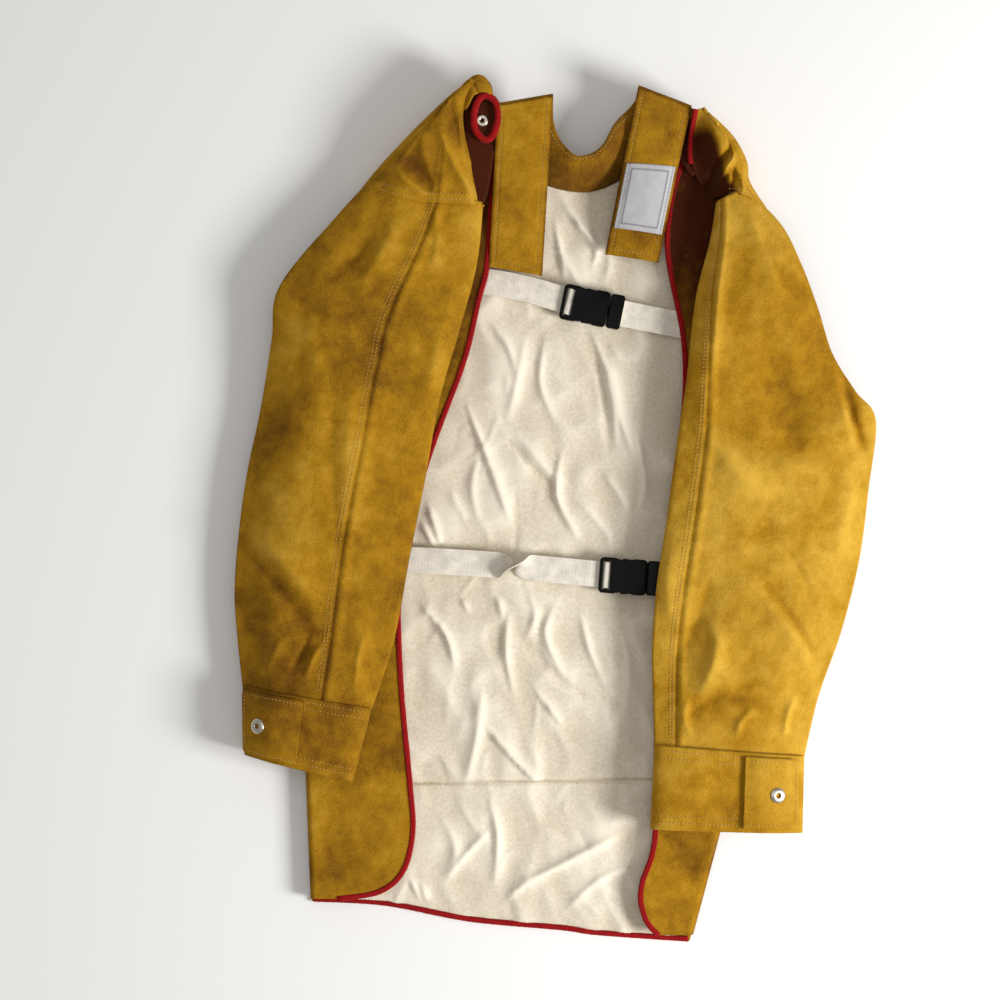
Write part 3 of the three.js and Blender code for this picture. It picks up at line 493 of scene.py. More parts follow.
# ---------- materials ----------
def node(tree, kind, settings=None, links=None):
    """Adds a shader node, sets its values and links inputs to other nodes' outputs."""
    made = tree.nodes.new(kind)
    for key, value in (settings or {}).items():
        if isinstance(key, str) and hasattr(made, key):
            setattr(made, key, value)
        else:
            made.inputs[key].default_value = value
    for key, (source, output) in (links or {}).items():
        tree.links.new(source.outputs[output], made.inputs[key])
    return made


def begin(name):
    made = bpy.data.materials.new(name)
    made.use_nodes = True
    tree = made.node_tree
    return made, tree, tree.nodes["Principled BSDF"], node(tree, "ShaderNodeTexCoord")


def per_metre(millimetres):
    """A noise scale whose features have this size."""
    return 1000 / millimetres


def wave_scale(millimetres):
    """A wave texture's scale whose bands are this far apart."""
    return per_metre(millimetres) / 6.28


def noise(tree, place, feature_mm, detail=2.0, roughness=0.5, distortion=0.0):
    """Cloudy noise through the piece, with features of this size."""
    settings = {"Scale": per_metre(feature_mm), "Detail": detail, "Roughness": roughness,
                "Distortion": distortion}
    return node(tree, "ShaderNodeTexNoise", settings, {"Vector": (place, "Object")})


def shade_of(tree):
    """The shade that a mesh carries at each point: painted shade and painted highlights, and on some pieces
    their own tone or a woven border.
    """
    return node(tree, "ShaderNodeAttribute", {"attribute_name": "shade"})


def plus(tree, factor, scaled, added):
    """One output times a factor, plus another output."""
    return node(tree, "ShaderNodeMath", {"operation": "MULTIPLY_ADD", 1: factor}, {0: scaled, 2: added})


def paint(tree, shader, stops, source):
    """Colours the shader by a ramp over an output."""
    made = node(tree, "ShaderNodeValToRGB", links={"Fac": source})
    elements = made.color_ramp.elements
    while len(elements) < len(stops):
        elements.new(0.5)
    for element, (place, colour) in zip(elements, stops):
        element.position = place
        element.color = (*colour, 1)
    tree.links.new(made.outputs[0], shader.inputs["Base Color"])


def darker(colour):
    return tuple(part * 0.7 for part in colour)


def gloss(tree, shader, low, high, source):
    """Lets the roughness vary from low to high with an output."""
    made = node(tree, "ShaderNodeMapRange", {"To Min": low, "To Max": high}, {"Value": source})
    tree.links.new(made.outputs[0], shader.inputs["Roughness"])


def bump(tree, shader, strength, depth_mm, source):
    made = node(tree, "ShaderNodeBump", {"Strength": strength, "Distance": depth_mm * MM}, {"Height": source})
    tree.links.new(made.outputs[0], shader.inputs["Normal"])


def finish(shader, settings):
    for name, value in settings.items():
        shader.inputs[name].default_value = value


def split_leather():
    """Split cowhide, golden, the flesh side napped: no gloss, soft cloudy patches where the nap lies
    differently, and a fine velvety fibre, with painted shade and painted highlights from the shade attribute."""
    made, tree, shader, place = begin("split_cowhide_napped")
    c = colours()
    clouds = noise(tree, place, 95, 3, 0.5, 0.4)
    patches = noise(tree, place, 16, 6, 0.62)
    # Real nap fibres are about 0.3 mm and wouldn't show, so they are drawn at 1.4 mm.
    fibre = noise(tree, place, 1.4, 3, 0.7)
    # The three noises lie about 0.5, so their sum is brought back to the middle colour.
    # The shade attribute adds painted shade and painted highlights to the noise.
    tone = plus(tree, 0.8, (clouds, "Fac"), (shade_of(tree), "Fac"))
    tone = plus(tree, 0.5, (patches, "Fac"), (tone, 0))
    tone = plus(tree, 0.42, (fibre, "Fac"), (tone, 0))
    centred = node(tree, "ShaderNodeMath", {"operation": "SUBTRACT", 1: 0.31}, {0: (tone, 0)})
    paint(tree, shader, [(0.0, c.leather_painted_shade), (0.26, c.leather_dark), (0.53, c.leather_mid),
                         (0.85, c.leather_light)], (centred, 0))
    bump(tree, shader, 0.6, 0.8, (plus(tree, 3.0, (patches, "Fac"), (fibre, "Fac")), 0))
    finish(shader, {"Roughness": 0.93, "IOR": 1.45, "Specular IOR Level": 0.2, "Sheen Weight": 0.1,
                    "Sheen Roughness": 0.5, "Sheen Tint": (*c.leather_light, 1)})
    return made


def cotton_drill():
    """Undyed cotton drill, woven in a fine diagonal twill: matt, creased and a little grey."""
    made, tree, shader, place = begin("cotton_drill_twill")
    stains = noise(tree, place, 80, 3)
    slubs = noise(tree, place, 3, 3, 0.6)
    # The shade attribute adds the painted highlight and painted shade of the lining's crests and creases.
    tone = plus(tree, 0.2, (stains, "Fac"), (shade_of(tree), "Fac"))
    tone = plus(tree, 0.22, (slubs, "Fac"), (tone, 0))
    paint(tree, shader, [(0.0, colours().lining_shade), (0.24, colours().lining)], (tone, 0))
    # The twill's ribs are about 0.8 mm apart; they are drawn at 1.6 mm so that they show.
    turned = node(tree, "ShaderNodeMapping", {"Rotation": (0, 0, math.radians(62))},
                  {"Vector": (place, "Object")})
    twill = node(tree, "ShaderNodeTexWave", {"Scale": wave_scale(1.6), "Distortion": 0.6, "Detail": 1.0},
                 {"Vector": (turned, 0)})
    bump(tree, shader, 0.35, 0.3, (plus(tree, 0.35, (twill, "Fac"), (slubs, "Fac")), 0))
    finish(shader, {"Roughness": 0.9, "Specular IOR Level": 0.25, "Sheen Weight": 0.08})
    return made


def woven(name, colour, rib_mm, rib_depth, roughness):
    """Narrow woven goods, ribbed across: each pick of the weft stands up as a rib."""
    made, tree, shader, place = begin(name)
    at = {"Vector": (place, "UV")}
    ribs = node(tree, "ShaderNodeTexWave", {"Scale": wave_scale(rib_mm), "bands_direction": "Y",
                                            "Distortion": 0.4}, at)
    ends = node(tree, "ShaderNodeTexWave", {"Scale": wave_scale(rib_mm * 0.8), "bands_direction": "X",
                                            "Distortion": 0.3}, at)
    wear = noise(tree, place, 9, 4, 0.6)
    cross = node(tree, "ShaderNodeMath", {"operation": "MULTIPLY"}, {0: (ribs, "Fac"), 1: (ends, "Fac")})
    tone = plus(tree, 0.1, (cross, 0), (wear, "Fac"))
    paint(tree, shader, [(0.3, darker(colour)), (0.75, colour)], (tone, 0))
    bump(tree, shader, 0.6, rib_depth, (cross, 0))
    finish(shader, {"Roughness": roughness, "Specular IOR Level": 0.2, "Sheen Weight": 0.04})
    return made


def red_bias_tape():
    """Red cotton bias tape: plain weave, slightly faded on its folded edge."""
    return woven("bias_tape_red_cotton", colours().binding, 1.3, 0.12, 0.82)


def cotton_webbing():
    """Undyed cotton webbing, woven narrow: soft, with ribs across it."""
    return woven("webbing_undyed_cotton", colours().webbing, 1.6, 0.14, 0.8)


def moulded_acetal():
    """Black acetal, injection moulded: a fine spark-eroded grain that gives a broad soft gloss."""
    made, tree, shader, place = begin("acetal_moulded_black")
    grain = noise(tree, place, 0.5)
    gloss(tree, shader, 0.28, 0.42, (grain, "Fac"))
    bump(tree, shader, 0.12, 0.1, (grain, "Fac"))
    finish(shader, {"Base Color": (*colours().plastic, 1), "IOR": 1.48, "Specular IOR Level": 0.12})
    return made


def nickel_plate():
    """Nickel-plated brass, stamped: warm grey metal, dulled by handling."""
    made, tree, shader, place = begin("nickel_plated_stamped")
    gloss(tree, shader, 0.22, 0.42, (noise(tree, place, 2.5, 3), "Fac"))
    finish(shader, {"Base Color": (*colours().nickel, 1), "Metallic": 1.0})
    return made


def woven_label():
    """Woven polyester label, blank, with a thin border: smooth and slightly satiny."""
    made, tree, shader, place = begin("label_woven_polyester")
    tone = plus(tree, 0.25, (noise(tree, place, 14, 3), "Fac"), (shade_of(tree), "Fac"))
    paint(tree, shader, [(0.1, colours().label), (0.9, colours().label_line)], (tone, 0))
    bump(tree, shader, 0.2, 0.1, (noise(tree, place, 0.8), "Fac"))
    finish(shader, {"Roughness": 0.6})
    return made


def sewing_thread():
    """Bonded polyester thread, tan: twisted, with a slight shine."""
    made, tree, shader, place = begin("thread_bonded_tan")
    twist = noise(tree, place, 6)
    paint(tree, shader, [(0.3, darker(colours().thread)), (0.7, colours().thread)], (twist, "Fac"))
    finish(shader, {"Roughness": 0.55})
    return made


def hook_tape():
    """Black nylon hook and loop tape: a dense rough pile."""
    made, tree, shader, place = begin("hook_and_loop_nylon")
    pile = node(tree, "ShaderNodeTexVoronoi", {"Scale": per_metre(1.2)}, {"Vector": (place, "Object")})
    bump(tree, shader, 0.9, 0.6, (pile, "Distance"))
    finish(shader, {"Base Color": (*colours().hook, 1), "Roughness": 0.9})
    return made


def pale_floor():
    """Plain pale board, matt painted."""
    made, _, shader, _ = begin("floor_matt_paint")
    finish(shader, {"Base Color": (*colours().floor, 1), "Roughness": 0.9})
    return made


LOOKS = {
    "leather": split_leather, "lining": cotton_drill, "binding": red_bias_tape, "webbing": cotton_webbing,
    "plastic": moulded_acetal, "nickel": nickel_plate, "label": woven_label, "thread": sewing_thread,
    "hook": hook_tape, "floor": pale_floor,
}
_made = {}


def material(look):
    if look not in _made:
        _made[look] = LOOKS[look]()
    return _made[look]


# ---------- front panel, lining and hem ----------
def outline_between(left, neck, right, hem):
    parts = [curve(left)(np.linspace(0, 1, 60)), curve(hem)(np.linspace(0, 1, 50))[1:-1],
             curve(right)(np.linspace(1, 0, 60)), curve(neck)(np.linspace(1, 0, 40))[1:-1]]
    return np.vstack(parts)


def moved(points, dx, dy):
    return [(x + dx, y + dy) for x, y in points]


# Creases of the lining: line, half width, height, steepness of the right-hand side.
LINING_FOLDS = [
    ([(8, 295), (25, 271), (39, 252), (35, 233)], 5.5, 5.2, 1.7),
    ([(-1, 280), (6, 242), (9, 221)], 5, 3.4, 1.4),
    ([(6, 247), (20, 221), (30, 211)], 4.5, 3.2, 0.7),
    ([(44, 268), (52, 240), (46, 216)], 7, 2.6, 1.0),
    ([(-63, 180), (-46, 157), (-39, 133)], 5, 3.2, 1.6),
    ([(-29, 166), (-37, 123), (-46, 85)], 7, 3.2, 0.8),
    ([(-10, 166), (-15, 123), (-1, 85)], 6, 3.4, 1.6),
    ([(27, 176), (44, 119), (51, 57)], 3.2, -3.0, 1.0),
    ([(34, 174), (52, 121), (58, 60)], 6, 3.6, 1.8),
    ([(51, 142), (60, 95), (80, 38)], 6.5, 3.4, 1.5),
    ([(6, 57), (1, 14), (23, -29)], 6.5, 5.0, 1.7),
    ([(-86, 104), (-63, 43), (-44, -10)], 5.5, 5.2, 1.8),
    ([(-48, 71), (-20, 38), (4, 19)], 4, -3.0, 1.0),
    ([(-42, 78), (-12, 44), (10, 24)], 6, 3.2, 0.7),
    ([(-39, 19), (-38, -12), (-39, -43)], 2.4, -2.6, 1.0),
    ([(-122, 5), (-110, -33)], 4.5, 4.6, 1.6),
    ([(-129, -10), (-115, -36)], 4, 3.6, 1.5),
    ([(75, 76), (85, 28), (80, 0)], 5.5, 4.6, 1.5),
    ([(46, 38), (70, 0)], 6, 3.2, 1.3),
    ([(-101, 19), (-86, -10)], 6, 2.8, 1.0),
    ([(-72, 60), (-80, 20), (-70, -20)], 7, 2.6, 1.0),
    ([(20, 10), (48, -20), (52, -40)], 7, 2.6, 1.2),
    ([(-129, -90), (-105, -119), (-96, -152)], 6, 4.4, 1.6),
    ([(-91, -84), (-82, -97)], 5, 3.0, 1.3),
    ([(-56, -82), (-50, -104)], 5, 3.0, 1.3),
    ([(-26, -80), (-20, -100), (-28, -124)], 5.5, 3.2, 1.0),
    ([(-70, -166), (-75, -214), (-86, -261)], 7, 4.4, 0.7),
    ([(-68, -204), (-39, -238), (-15, -261)], 4.6, 5.2, 1.9),
    ([(-34, -124), (-1, -157), (32, -181)], 4, -3.2, 1.0),
    ([(-44, -95), (-48, -133), (-39, -181)], 6.5, 3.6, 1.6),
    ([(-1, -90), (-10, -119), (9, -162)], 6, 3.4, 1.5),
    ([(-20, -171), (6, -204)], 5, 3.8, 1.6),
    ([(23, -95), (32, -133), (47, -166)], 6, 3.2, 1.4),
    ([(60, -110), (70, -150), (64, -200)], 8, 2.8, 1.0),
    ([(-63, -276), (-56, -309), (-58, -356)], 8, 4.4, 1.4),
    ([(-129, -356), (-122, -371)], 4, 3.8, 1.4),
    ([(-139, -350), (-129, -371)], 4, 3.0, 1.4),
    ([(-25, -352), (23, -328), (61, -309)], 6.5, 4.8, 1.7),
    ([(-48, -371), (-25, -352), (-1, -342)], 5, 3.6, 1.4),
    ([(-105, -352), (-86, -328), (-63, -304)], 6, 3.6, 1.5),
    ([(10, -380), (40, -352), (70, -340)], 6, 3.0, 1.4),
    ([(-110, -290), (-96, -320), (-104, -350)], 8, 2.6, 1.0),
]


def small_creases(count, seed):
    """Short creases of crumpled cotton, running mostly down the back and slanting either way."""
    random = np.random.default_rng(seed)
    made = []
    for _ in range(count):
        start = np.array([random.uniform(-150, 100), random.uniform(-385, 290)])
        heading = math.radians(random.choice([-90, -60, -118, -35]) + random.normal(0, 14))
        length = random.uniform(18, 62)
        bend = random.normal(0, 0.35)
        half = start + length / 2 * np.array([math.cos(heading), math.sin(heading)])
        end = half + length / 2 * np.array([math.cos(heading + bend), math.sin(heading + bend)])
        height = random.uniform(0.7, 2.1) * random.choice([1, 1, -0.7])
        width, steep = random.uniform(2.2, 5), random.uniform(0.6, 1.8)
        made.append(([start, half, end], width, height, steep))
    return made


SMALL_CREASES = small_creases(95, 5)


def lining_seam(x):
    """Where the seam between the lining's two pieces runs."""
    return 0.02 * x - 258


def lining_height(x, y):
    """The crumpled lining's upper face."""
    z = np.full_like(x, LINING_REST + 1.2)
    narrow = [(line, width * 0.68, height, steep) for line, width, height, steep in LINING_FOLDS]
    creases = fold_height(x, y, SMALL_CREASES, 1.4) * 0.8
    z += np.clip(fold_height(x, y, narrow, 1.25) * 1.35 + creases, -1.8, 7.0)
    soft = undulation(x * 1.35, y * 0.6, 38, 11, 2)
    facets = 0.5 - np.abs(value_noise(x / 30 + y / 60, y / 44 - x / 70, 23))
    z += sizes().fold_depth * (np.maximum(soft, -0.7) * 1.7 + facets * 2.4)
    seam = np.exp(-((y - lining_seam(x)) / 1.6) ** 2)
    return np.clip(z - 1.1 * seam, LINING_REST + 0.2, LINING_REST + 7.2)


def lining_shade(x, y):
    """Painted highlight on the crests, painted shade in the creases, and darker along the seam."""
    z = lining_height(x, y) - LINING_REST
    seam = np.exp(-((y - lining_seam(x)) / 1.2) ** 2)
    return np.clip((z - 2.6) * 0.03, -0.05, 0.08) - 0.16 * seam


def build_front():
    outline = outline_between(BODY_LEFT, moved(NECKLINE, 0, 4), BODY_RIGHT, HEM)
    leather = sizes().leather / MM
    rough = lambda x, y: leather + 0.25 * undulation(x, y, 60, 3)
    front = filled_piece("front_leather", outline, 14, rough, "leather", leather,
                         evenly(-0.1))
    fit(front, "jacket_body", "leather", "front_panel")
    hem = curve(HEM)(np.linspace(0.004, 0.996, 220))
    path = np.column_stack([hem[:, 0], hem[:, 1] + 2.3, np.full(len(hem), leather + 0.7)])
    wave = 0.5 * undulation(hem[:, 0], hem[:, 1], 30, 8)
    path[:, 2] += np.maximum(wave, 0)
    section = rounded_section(sizes().binding / MM, 4.2, 1.7)
    binding = swept_piece("hem_bias_binding", path, section, "binding", (0, 0, 1), 0.03, 4)
    fit(binding, "jacket_body", "binding", "hem_binding")
    thread = stitches("hem_stitching", [path + [0, 1.6, 2.15]], 0, "binding", 2.2, 0.3)
    fit(thread, "jacket_body", "binding")


def build_lining():
    whole = outline_between(moved(BODY_LEFT, 15, 0), moved(NECKLINE, 0, 5), moved(BODY_RIGHT, -15, 0),
                            moved(HEM, 0, 4))
    lining = sizes().lining / MM
    piece = filled_piece("cotton_lining", whole, 2.7, lining_height, "lining", lining, lining_shade)
    fit(piece, "jacket_body", "lining", "lining_upper", "lining_lower")
    x = np.linspace(-150, 88, 120)
    y = lining_seam(x) - 3.2
    line = np.column_stack([x, y, lining_height(x, y)])
    fit(stitches("lining_stitching", [line], 0, "lining", 2.2, 0.28), "jacket_body", "lining")


# ---------- back panels ----------
SIDE_BULGE = 6
BACK_ROWS = 230
TURN_COLUMNS, FLAT_COLUMNS = 14, 69  # round the side's fold, and on to the bound edge


def back_grid(side_line, edge_line, side, seed):
    """Rows run from shoulder to hem, columns from the front's edge round the side to the bound edge."""
    v = np.linspace(0, 1, BACK_ROWS)
    outer = curve(side_line)(0.005 + 0.995 * v)
    inner = curve(edge_line)(v)
    turn = np.linspace(-math.pi / 2, math.pi / 2, TURN_COLUMNS)[None]
    rise = LINING_REST + 1.2
    middle, half = (rise + BACK_TOP) / 2, (BACK_TOP - rise) / 2
    fold = np.stack(np.broadcast_arrays(outer[:, :1] + side * SIDE_BULGE * (np.cos(turn) - 1), outer[:, 1:],
                                        middle + half * np.sin(turn)), -1)
    u = np.linspace(0, 1, FLAT_COLUMNS + 1)[1:]
    start = fold[:, -1]
    end = np.column_stack([inner, np.full(BACK_ROWS, BACK_TOP)])
    top = start[:, None] + (end - start)[:, None] * u[None, :, None]
    x, y = top[..., 0], top[..., 1]
    wave = undulation(x, y * 0.7, 70, seed) * 1.4 + undulation(x, y, 22, seed + 5) * 0.35
    top[..., 2] += np.clip(wave, -1.5, 2.2) * smooth(u / 0.2)[None] * sizes().fold_depth
    return np.concatenate([fold, top], axis=1)


def edge_path(grid, inwards, lift):
    """A line along the grid's last column, moved in from the edge and up."""
    edge = grid[:, -1]
    inner = grid[:, -8]
    return edge + unit((inner - edge) * [1, 1, 0]) * inwards + [0, 0, lift]


def build_back_panels():
    for name, side_line, edge_line, side, seed in (("left", LEFT_SIDE, LEFT_EDGE, -1, 31),
                                                   ("right", RIGHT_SIDE, RIGHT_EDGE, 1, 47)):
        grid = back_grid(side_line, edge_line, side, seed)
        x, y = grid[..., 0], grid[..., 1]
        # Painted shade: darker where the side turns down, a little darker all over, and much darker towards the
        # neck, under the collar and shoulders.
        panel_painted_shade = (grid[..., 2] - BACK_TOP) * 0.05 - 0.06 - 0.62 * smooth((y - 110) / 170)
        piece = sheet_piece(f"{name}_back_leather", grid, "leather", sizes().leather / MM, shade=panel_painted_shade)
        fit(piece, "jacket_body", "leather", f"{name}_back_panel")
        path = edge_path(grid, 2.0, -0.8)
        binding = swept_piece(f"{name}_bias_binding", path, rounded_section(sizes().binding / MM, 3.9, 1.6),
                              "binding", (0, 0, 1), 0.03, seed)
        fit(binding, "jacket_body", "binding", f"{name}_back_binding")
        thread = stitches(f"{name}_binding_stitching", [edge_path(grid, 3.6, 1.1)], 0, "binding", 2.2, 0.3)
        fit(thread, "jacket_body", "binding")


# ---------- shoulders ----------
# Folds: line, half width, height, steepness of the right-hand side.
YOKE_FOLDS = {
    "left": [([(-112, 364), (-102, 336), (-90, 314), (-74, 292)], 6.5, 6.5, 1.3),
             ([(-100, 392), (-97, 366), (-90, 340)], 5, -4.5, 1.0),
             ([(-168, 328), (-140, 309), (-122, 297)], 4.2, 5.0, 1.3),
             ([(-150, 334), (-128, 318), (-118, 300)], 9, -6.0, 1.0),
             ([(-128, 352), (-122, 326), (-114, 300)], 5, 2.4, 1.0),
             ([(-132, 366), (-150, 346), (-168, 330)], 8, 2.0, 1.0)],
    "right": [([(170, 348), (154, 326), (141, 300)], 5.5, -9.0, 1.6),
              ([(172, 338), (160, 322), (152, 303)], 4.0, 6.0, 1.3),
              ([(166, 322), (156, 310), (148, 298)], 2.8, -6.0, 1.0),
              ([(178, 321), (176, 308), (176, 295)], 4.2, 4.5, 1.4),
              ([(168, 324), (167, 310), (166, 297)], 2.4, -5.5, 1.0),
              ([(146, 374), (156, 360), (166, 346)], 6, 3.5, 1.0)],
}
YOKE_TOP = {"left": 51, "right": 50}
YOKE_ROWS = 110
YOKE_COLUMNS = 22  # round the shoulder line, before the flat part
YOKE_FLAT_COLUMNS = 75


def heights_on(grid, x, y):
    """Heights of a grid's upper face at the places x, y, from its nearest points."""
    points = grid.reshape(-1, 3)
    found = np.empty(len(x))
    for k, (px, py) in enumerate(zip(x, y)):
        distance = (points[:, 0] - px) ** 2 + (points[:, 1] - py) ** 2
        near = np.argpartition(distance, 6)[:6]
        weight = 1 / (distance[near] + 0.1)
        found[k] = (points[near, 2] * weight).sum() / weight.sum()
    return found


def yoke_grid(name, yoke, sleeve_top):
    """Rows run from the neck to the sleeve's seam, columns round the shoulder line to the inner edge."""
    v = np.linspace(0, 1, YOKE_ROWS)
    outer = curve(yoke["outer"])(v)
    inner = curve(yoke["inner"])(v)
    u = np.linspace(0, 1, YOKE_FLAT_COLUMNS + 1)[1:]
    top = outer[:, None] + (inner - outer)[:, None] * u[None, :, None]
    top[..., 1] -= yoke["sag"] * np.sin(np.pi * u)[None] * smooth(v)[:, None]
    x, y = top[..., 0], top[..., 1]
    seam = heights_on(sleeve_top, x[-1], y[-1]) + sizes().leather / MM + 0.5
    high = np.broadcast_to(YOKE_TOP[name], x.shape)
    crown = high + 4.0 * np.sin(np.pi * np.minimum(u * 1.15, 1))[None] * smooth(v / 0.3)[:, None]
    z = mix(crown, np.broadcast_to(seam[None], x.shape), smooth((v - 0.45) / 0.55)[:, None])
    if name == "right":  # the inner part falls into the hollow beside the collar
        fall = smooth(v / 0.35) * (1 - 0.2 * smooth(v))
        z = np.maximum(z - 26 * smooth((u - 0.42) / 0.5)[None] * fall[:, None], BACK_TOP + 4.5)
    else:
        z = z - 10 * smooth((u - 0.86) / 0.14)[None] ** 2 * smooth(v / 0.2)[:, None]
    hold = (1 - 0.65 * smooth((v - 0.9) / 0.1))[:, None] * smooth(u / 0.1)[None]
    z = z + fold_height(x, y, YOKE_FOLDS[name], 1.6) * hold
    z = z + undulation(x, y, 26, 61) * 0.8 * hold
    puff = 1.8 * np.exp(-((v - 0.93) / 0.03) ** 2)[:, None]
    z = z + puff * np.sin(np.pi * u)[None]
    start_z = z[:, 0]
    low = np.full(len(v), sizes().leather / MM * 0.9)
    turn = np.linspace(-math.pi / 2, math.pi / 2, YOKE_COLUMNS)
    out = unit(outer - inner)
    bulge = np.minimum(9, np.linalg.norm(outer - inner, axis=1) * 0.3)
    plan = outer[:, None] + out[:, None] * (bulge[:, None] * (np.cos(turn)[None] - 1))[..., None]
    fold_z = ((low + start_z) / 2)[:, None] + ((start_z - low) / 2)[:, None] * np.sin(turn)[None]
    fold = np.concatenate([plan, fold_z[..., None]], -1)
    join = np.concatenate([top, z[..., None]], -1)
    away = -out * bulge[:, None]
    join[..., :2] += away[:, None] * (1 - smooth(u / 0.35))[None, :, None]
    return np.concatenate([fold, join], axis=1)


def build_yokes():
    for name, yoke in YOKES.items():
        sleeve_top = sleeve_grid(name, SLEEVES[name])[0][:60, :TOP_COLUMNS]
        grid = yoke_grid(name, yoke, sleeve_top)
        x, y = grid[..., 0], grid[..., 1]
        folds = fold_height(x, y, YOKE_FOLDS[name], 1.6)
        # Painted highlights on the fold crests and painted shade in the fold valleys.
        shade = np.clip(folds * 0.035, -0.3, 0.16)
        if name == "left":
            # Painted shade over the left yoke's lower middle.
            shade = shade - 0.05 - 0.15 * np.exp(-(((x + 128) / 44) ** 2 + ((y - 324) / 26) ** 2))
        else:
            inner = np.maximum(np.arange(grid.shape[1]) - YOKE_COLUMNS, 0) / (grid.shape[1] - YOKE_COLUMNS)
            down = np.linspace(0, 1, grid.shape[0])
            # Painted shade: the inner part, down in the hollow beside the collar, painted nearly black.
            shade = shade - 1.0 * smooth((inner - 0.42) / 0.25)[None] * smooth((down - 0.12) / 0.3)[:, None]
        piece = sheet_piece(f"{name}_yoke_leather", grid, "leather", sizes().leather / MM, shade=shade)
        fit(piece, "jacket_body", "leather", f"{name}_shoulder_yoke")
        columns = np.linspace(YOKE_COLUMNS + 2, grid.shape[1] - (6 if name == "left" else 26), 90)
        rows = [on_grid(grid, YOKE_ROWS - 1 - back, columns) for back in (3.5, 8)]
        fit(stitches(f"{name}_yoke_stitching", rows, 0.2), "jacket_body", "leather")
    edge = on_grid(grid, np.linspace(0, 62, 70), grid.shape[1] - 1.1) + [-0.6, 0, -0.6]
    binding = swept_piece("right_yoke_bias_binding", edge, rounded_section(sizes().binding / MM, 3.6, 1.5),
                          "binding", (0.5, 0, 1), 0.03, 21)
    fit(binding, "jacket_body", "binding")
    # A leather sheet painted nearly black: painted shadow in the gap between the right yoke and the collar.
    neck_shadow_sheet = curve([(112, 388), (133, 381), (136, 352), (134, 322), (126, 322), (114, 350), (112, 388)])(
        np.linspace(0, 1, 70))[:-1]
    neck_shadow_sheet = filled_piece("right_neck_painted_shadow", neck_shadow_sheet, 3, lambda x, y: BACK_TOP + 6 + 0 * x, "leather", 1.6,
                          evenly(-1.0))
    fit(neck_shadow_sheet, "jacket_body", "leather")


# ---------- sleeves ----------
SHELL_POWER = 2 / 3.2
OVERHANG = 0.3
SLEEVE_FOLDS = {
    "left": [
        ([(-252, 88), (-205, 84), (-160, 80)], 2.0, -1.6, 1.0),
        ([(-235, 190), (-225, 120), (-222, 60)], 18, 2.8, 1.0),
        ([(-190, 150), (-196, 70), (-204, -40)], 16, 2.6, 1.0),
        ([(-212, 110), (-210, 30), (-206, -60)], 9, -2.2, 1.0),
        ([(-303, -34), (-262, -74), (-225, -121)], 9, -4.0, 1.4),
        ([(-296, -14), (-250, -58), (-214, -104)], 13, 3.4, 1.2),
        ([(-252, -156), (-238, -134), (-232, -112)], 3.4, -2.6, 1.0),
        ([(-236, -158), (-226, -136), (-216, -122)], 4, 2.8, 1.3),
        ([(-272, -150), (-262, -130), (-250, -118)], 5, 2.4, 1.3),
        ([(-178, -110), (-186, -140), (-190, -172)], 5, 2.2, 1.3),
        ([(-166, 270), (-190, 236), (-214, 214)], 9, -2.6, 1.2),
        ([(-150, 290), (-160, 250), (-190, 200)], 13, 3.2, 1.3),
        ([(-118, 296), (-112, 262), (-116, 226)], 7, 2.2, 1.3),
        ([(-262, 210), (-236, 196), (-214, 176)], 8, -2.4, 1.0),
        ([(-100, 200), (-112, 150), (-124, 96)], 9, 2.2, 1.0),
    ],
    "right": [
        ([(164, 288), (152, 200), (134, 60)], 9, 3.2, 1.0),
        ([(176, 286), (196, 246), (212, 200)], 10, 3.4, 1.4),
        ([(190, 262), (206, 226), (226, 196)], 7, -3.4, 1.0),
        ([(190, 170), (212, 104), (228, 40)], 26, -5.2, 1.0),
        ([(272, 128), (280, 88), (292, 52)], 5, -6.0, 1.3),
        ([(262, 132), (270, 92), (280, 56)], 9, 3.6, 1.0),
        ([(134, 70), (170, 34), (204, 8)], 14, 4.0, 1.4),
        ([(190, -66), (220, -102), (247, -143)], 2.6, -3.0, 1.0),
        ([(184, -74), (214, -110), (240, -150)], 8, 2.6, 1.0),
        ([(215, -39), (228, -58), (238, -75)], 2.2, -1.8, 1.0),
        ([(238, -25), (256, -39)], 2.4, -1.6, 1.0),
        ([(112, -20), (104, -60), (106, -110)], 10, 3.0, 1.0),
        ([(146, -60), (132, -104), (108, -150)], 12, -3.4, 1.2),
        ([(138, -100), (150, -128), (134, -176)], 11, 4.2, 1.5),
        ([(118, -196), (152, -176), (196, -186)], 7, -3.4, 1.0),
        ([(126, -214), (120, -196), (124, -176)], 4, 2.6, 1.3),
        ([(168, -216), (172, -200), (186, -186)], 4, 2.8, 1.3),
        ([(214, -216), (216, -196), (224, -176)], 5, 3.4, 1.4),
        ([(280, 40), (272, -10), (262, -60)], 14, 3.0, 1.0),
    ],
}
# Each sleeve's tone: partly the nap's own difference, partly painted light, the left sleeve painted darker and
# the right lighter, as if lit from the right.
SLEEVE_TONE_AND_LIGHT = {"left": -0.1, "right": 0.03}


def rest_height(sleeve, v, across):
    """The underside of a sleeve: it lies on the body, and droops to the floor along its outer edge."""
    drop = sleeve["droop"] * SLEEVE_REST * smooth((v - 0.22) / 0.3)
    return SLEEVE_REST - drop * (1 - smooth(across / OVERHANG))


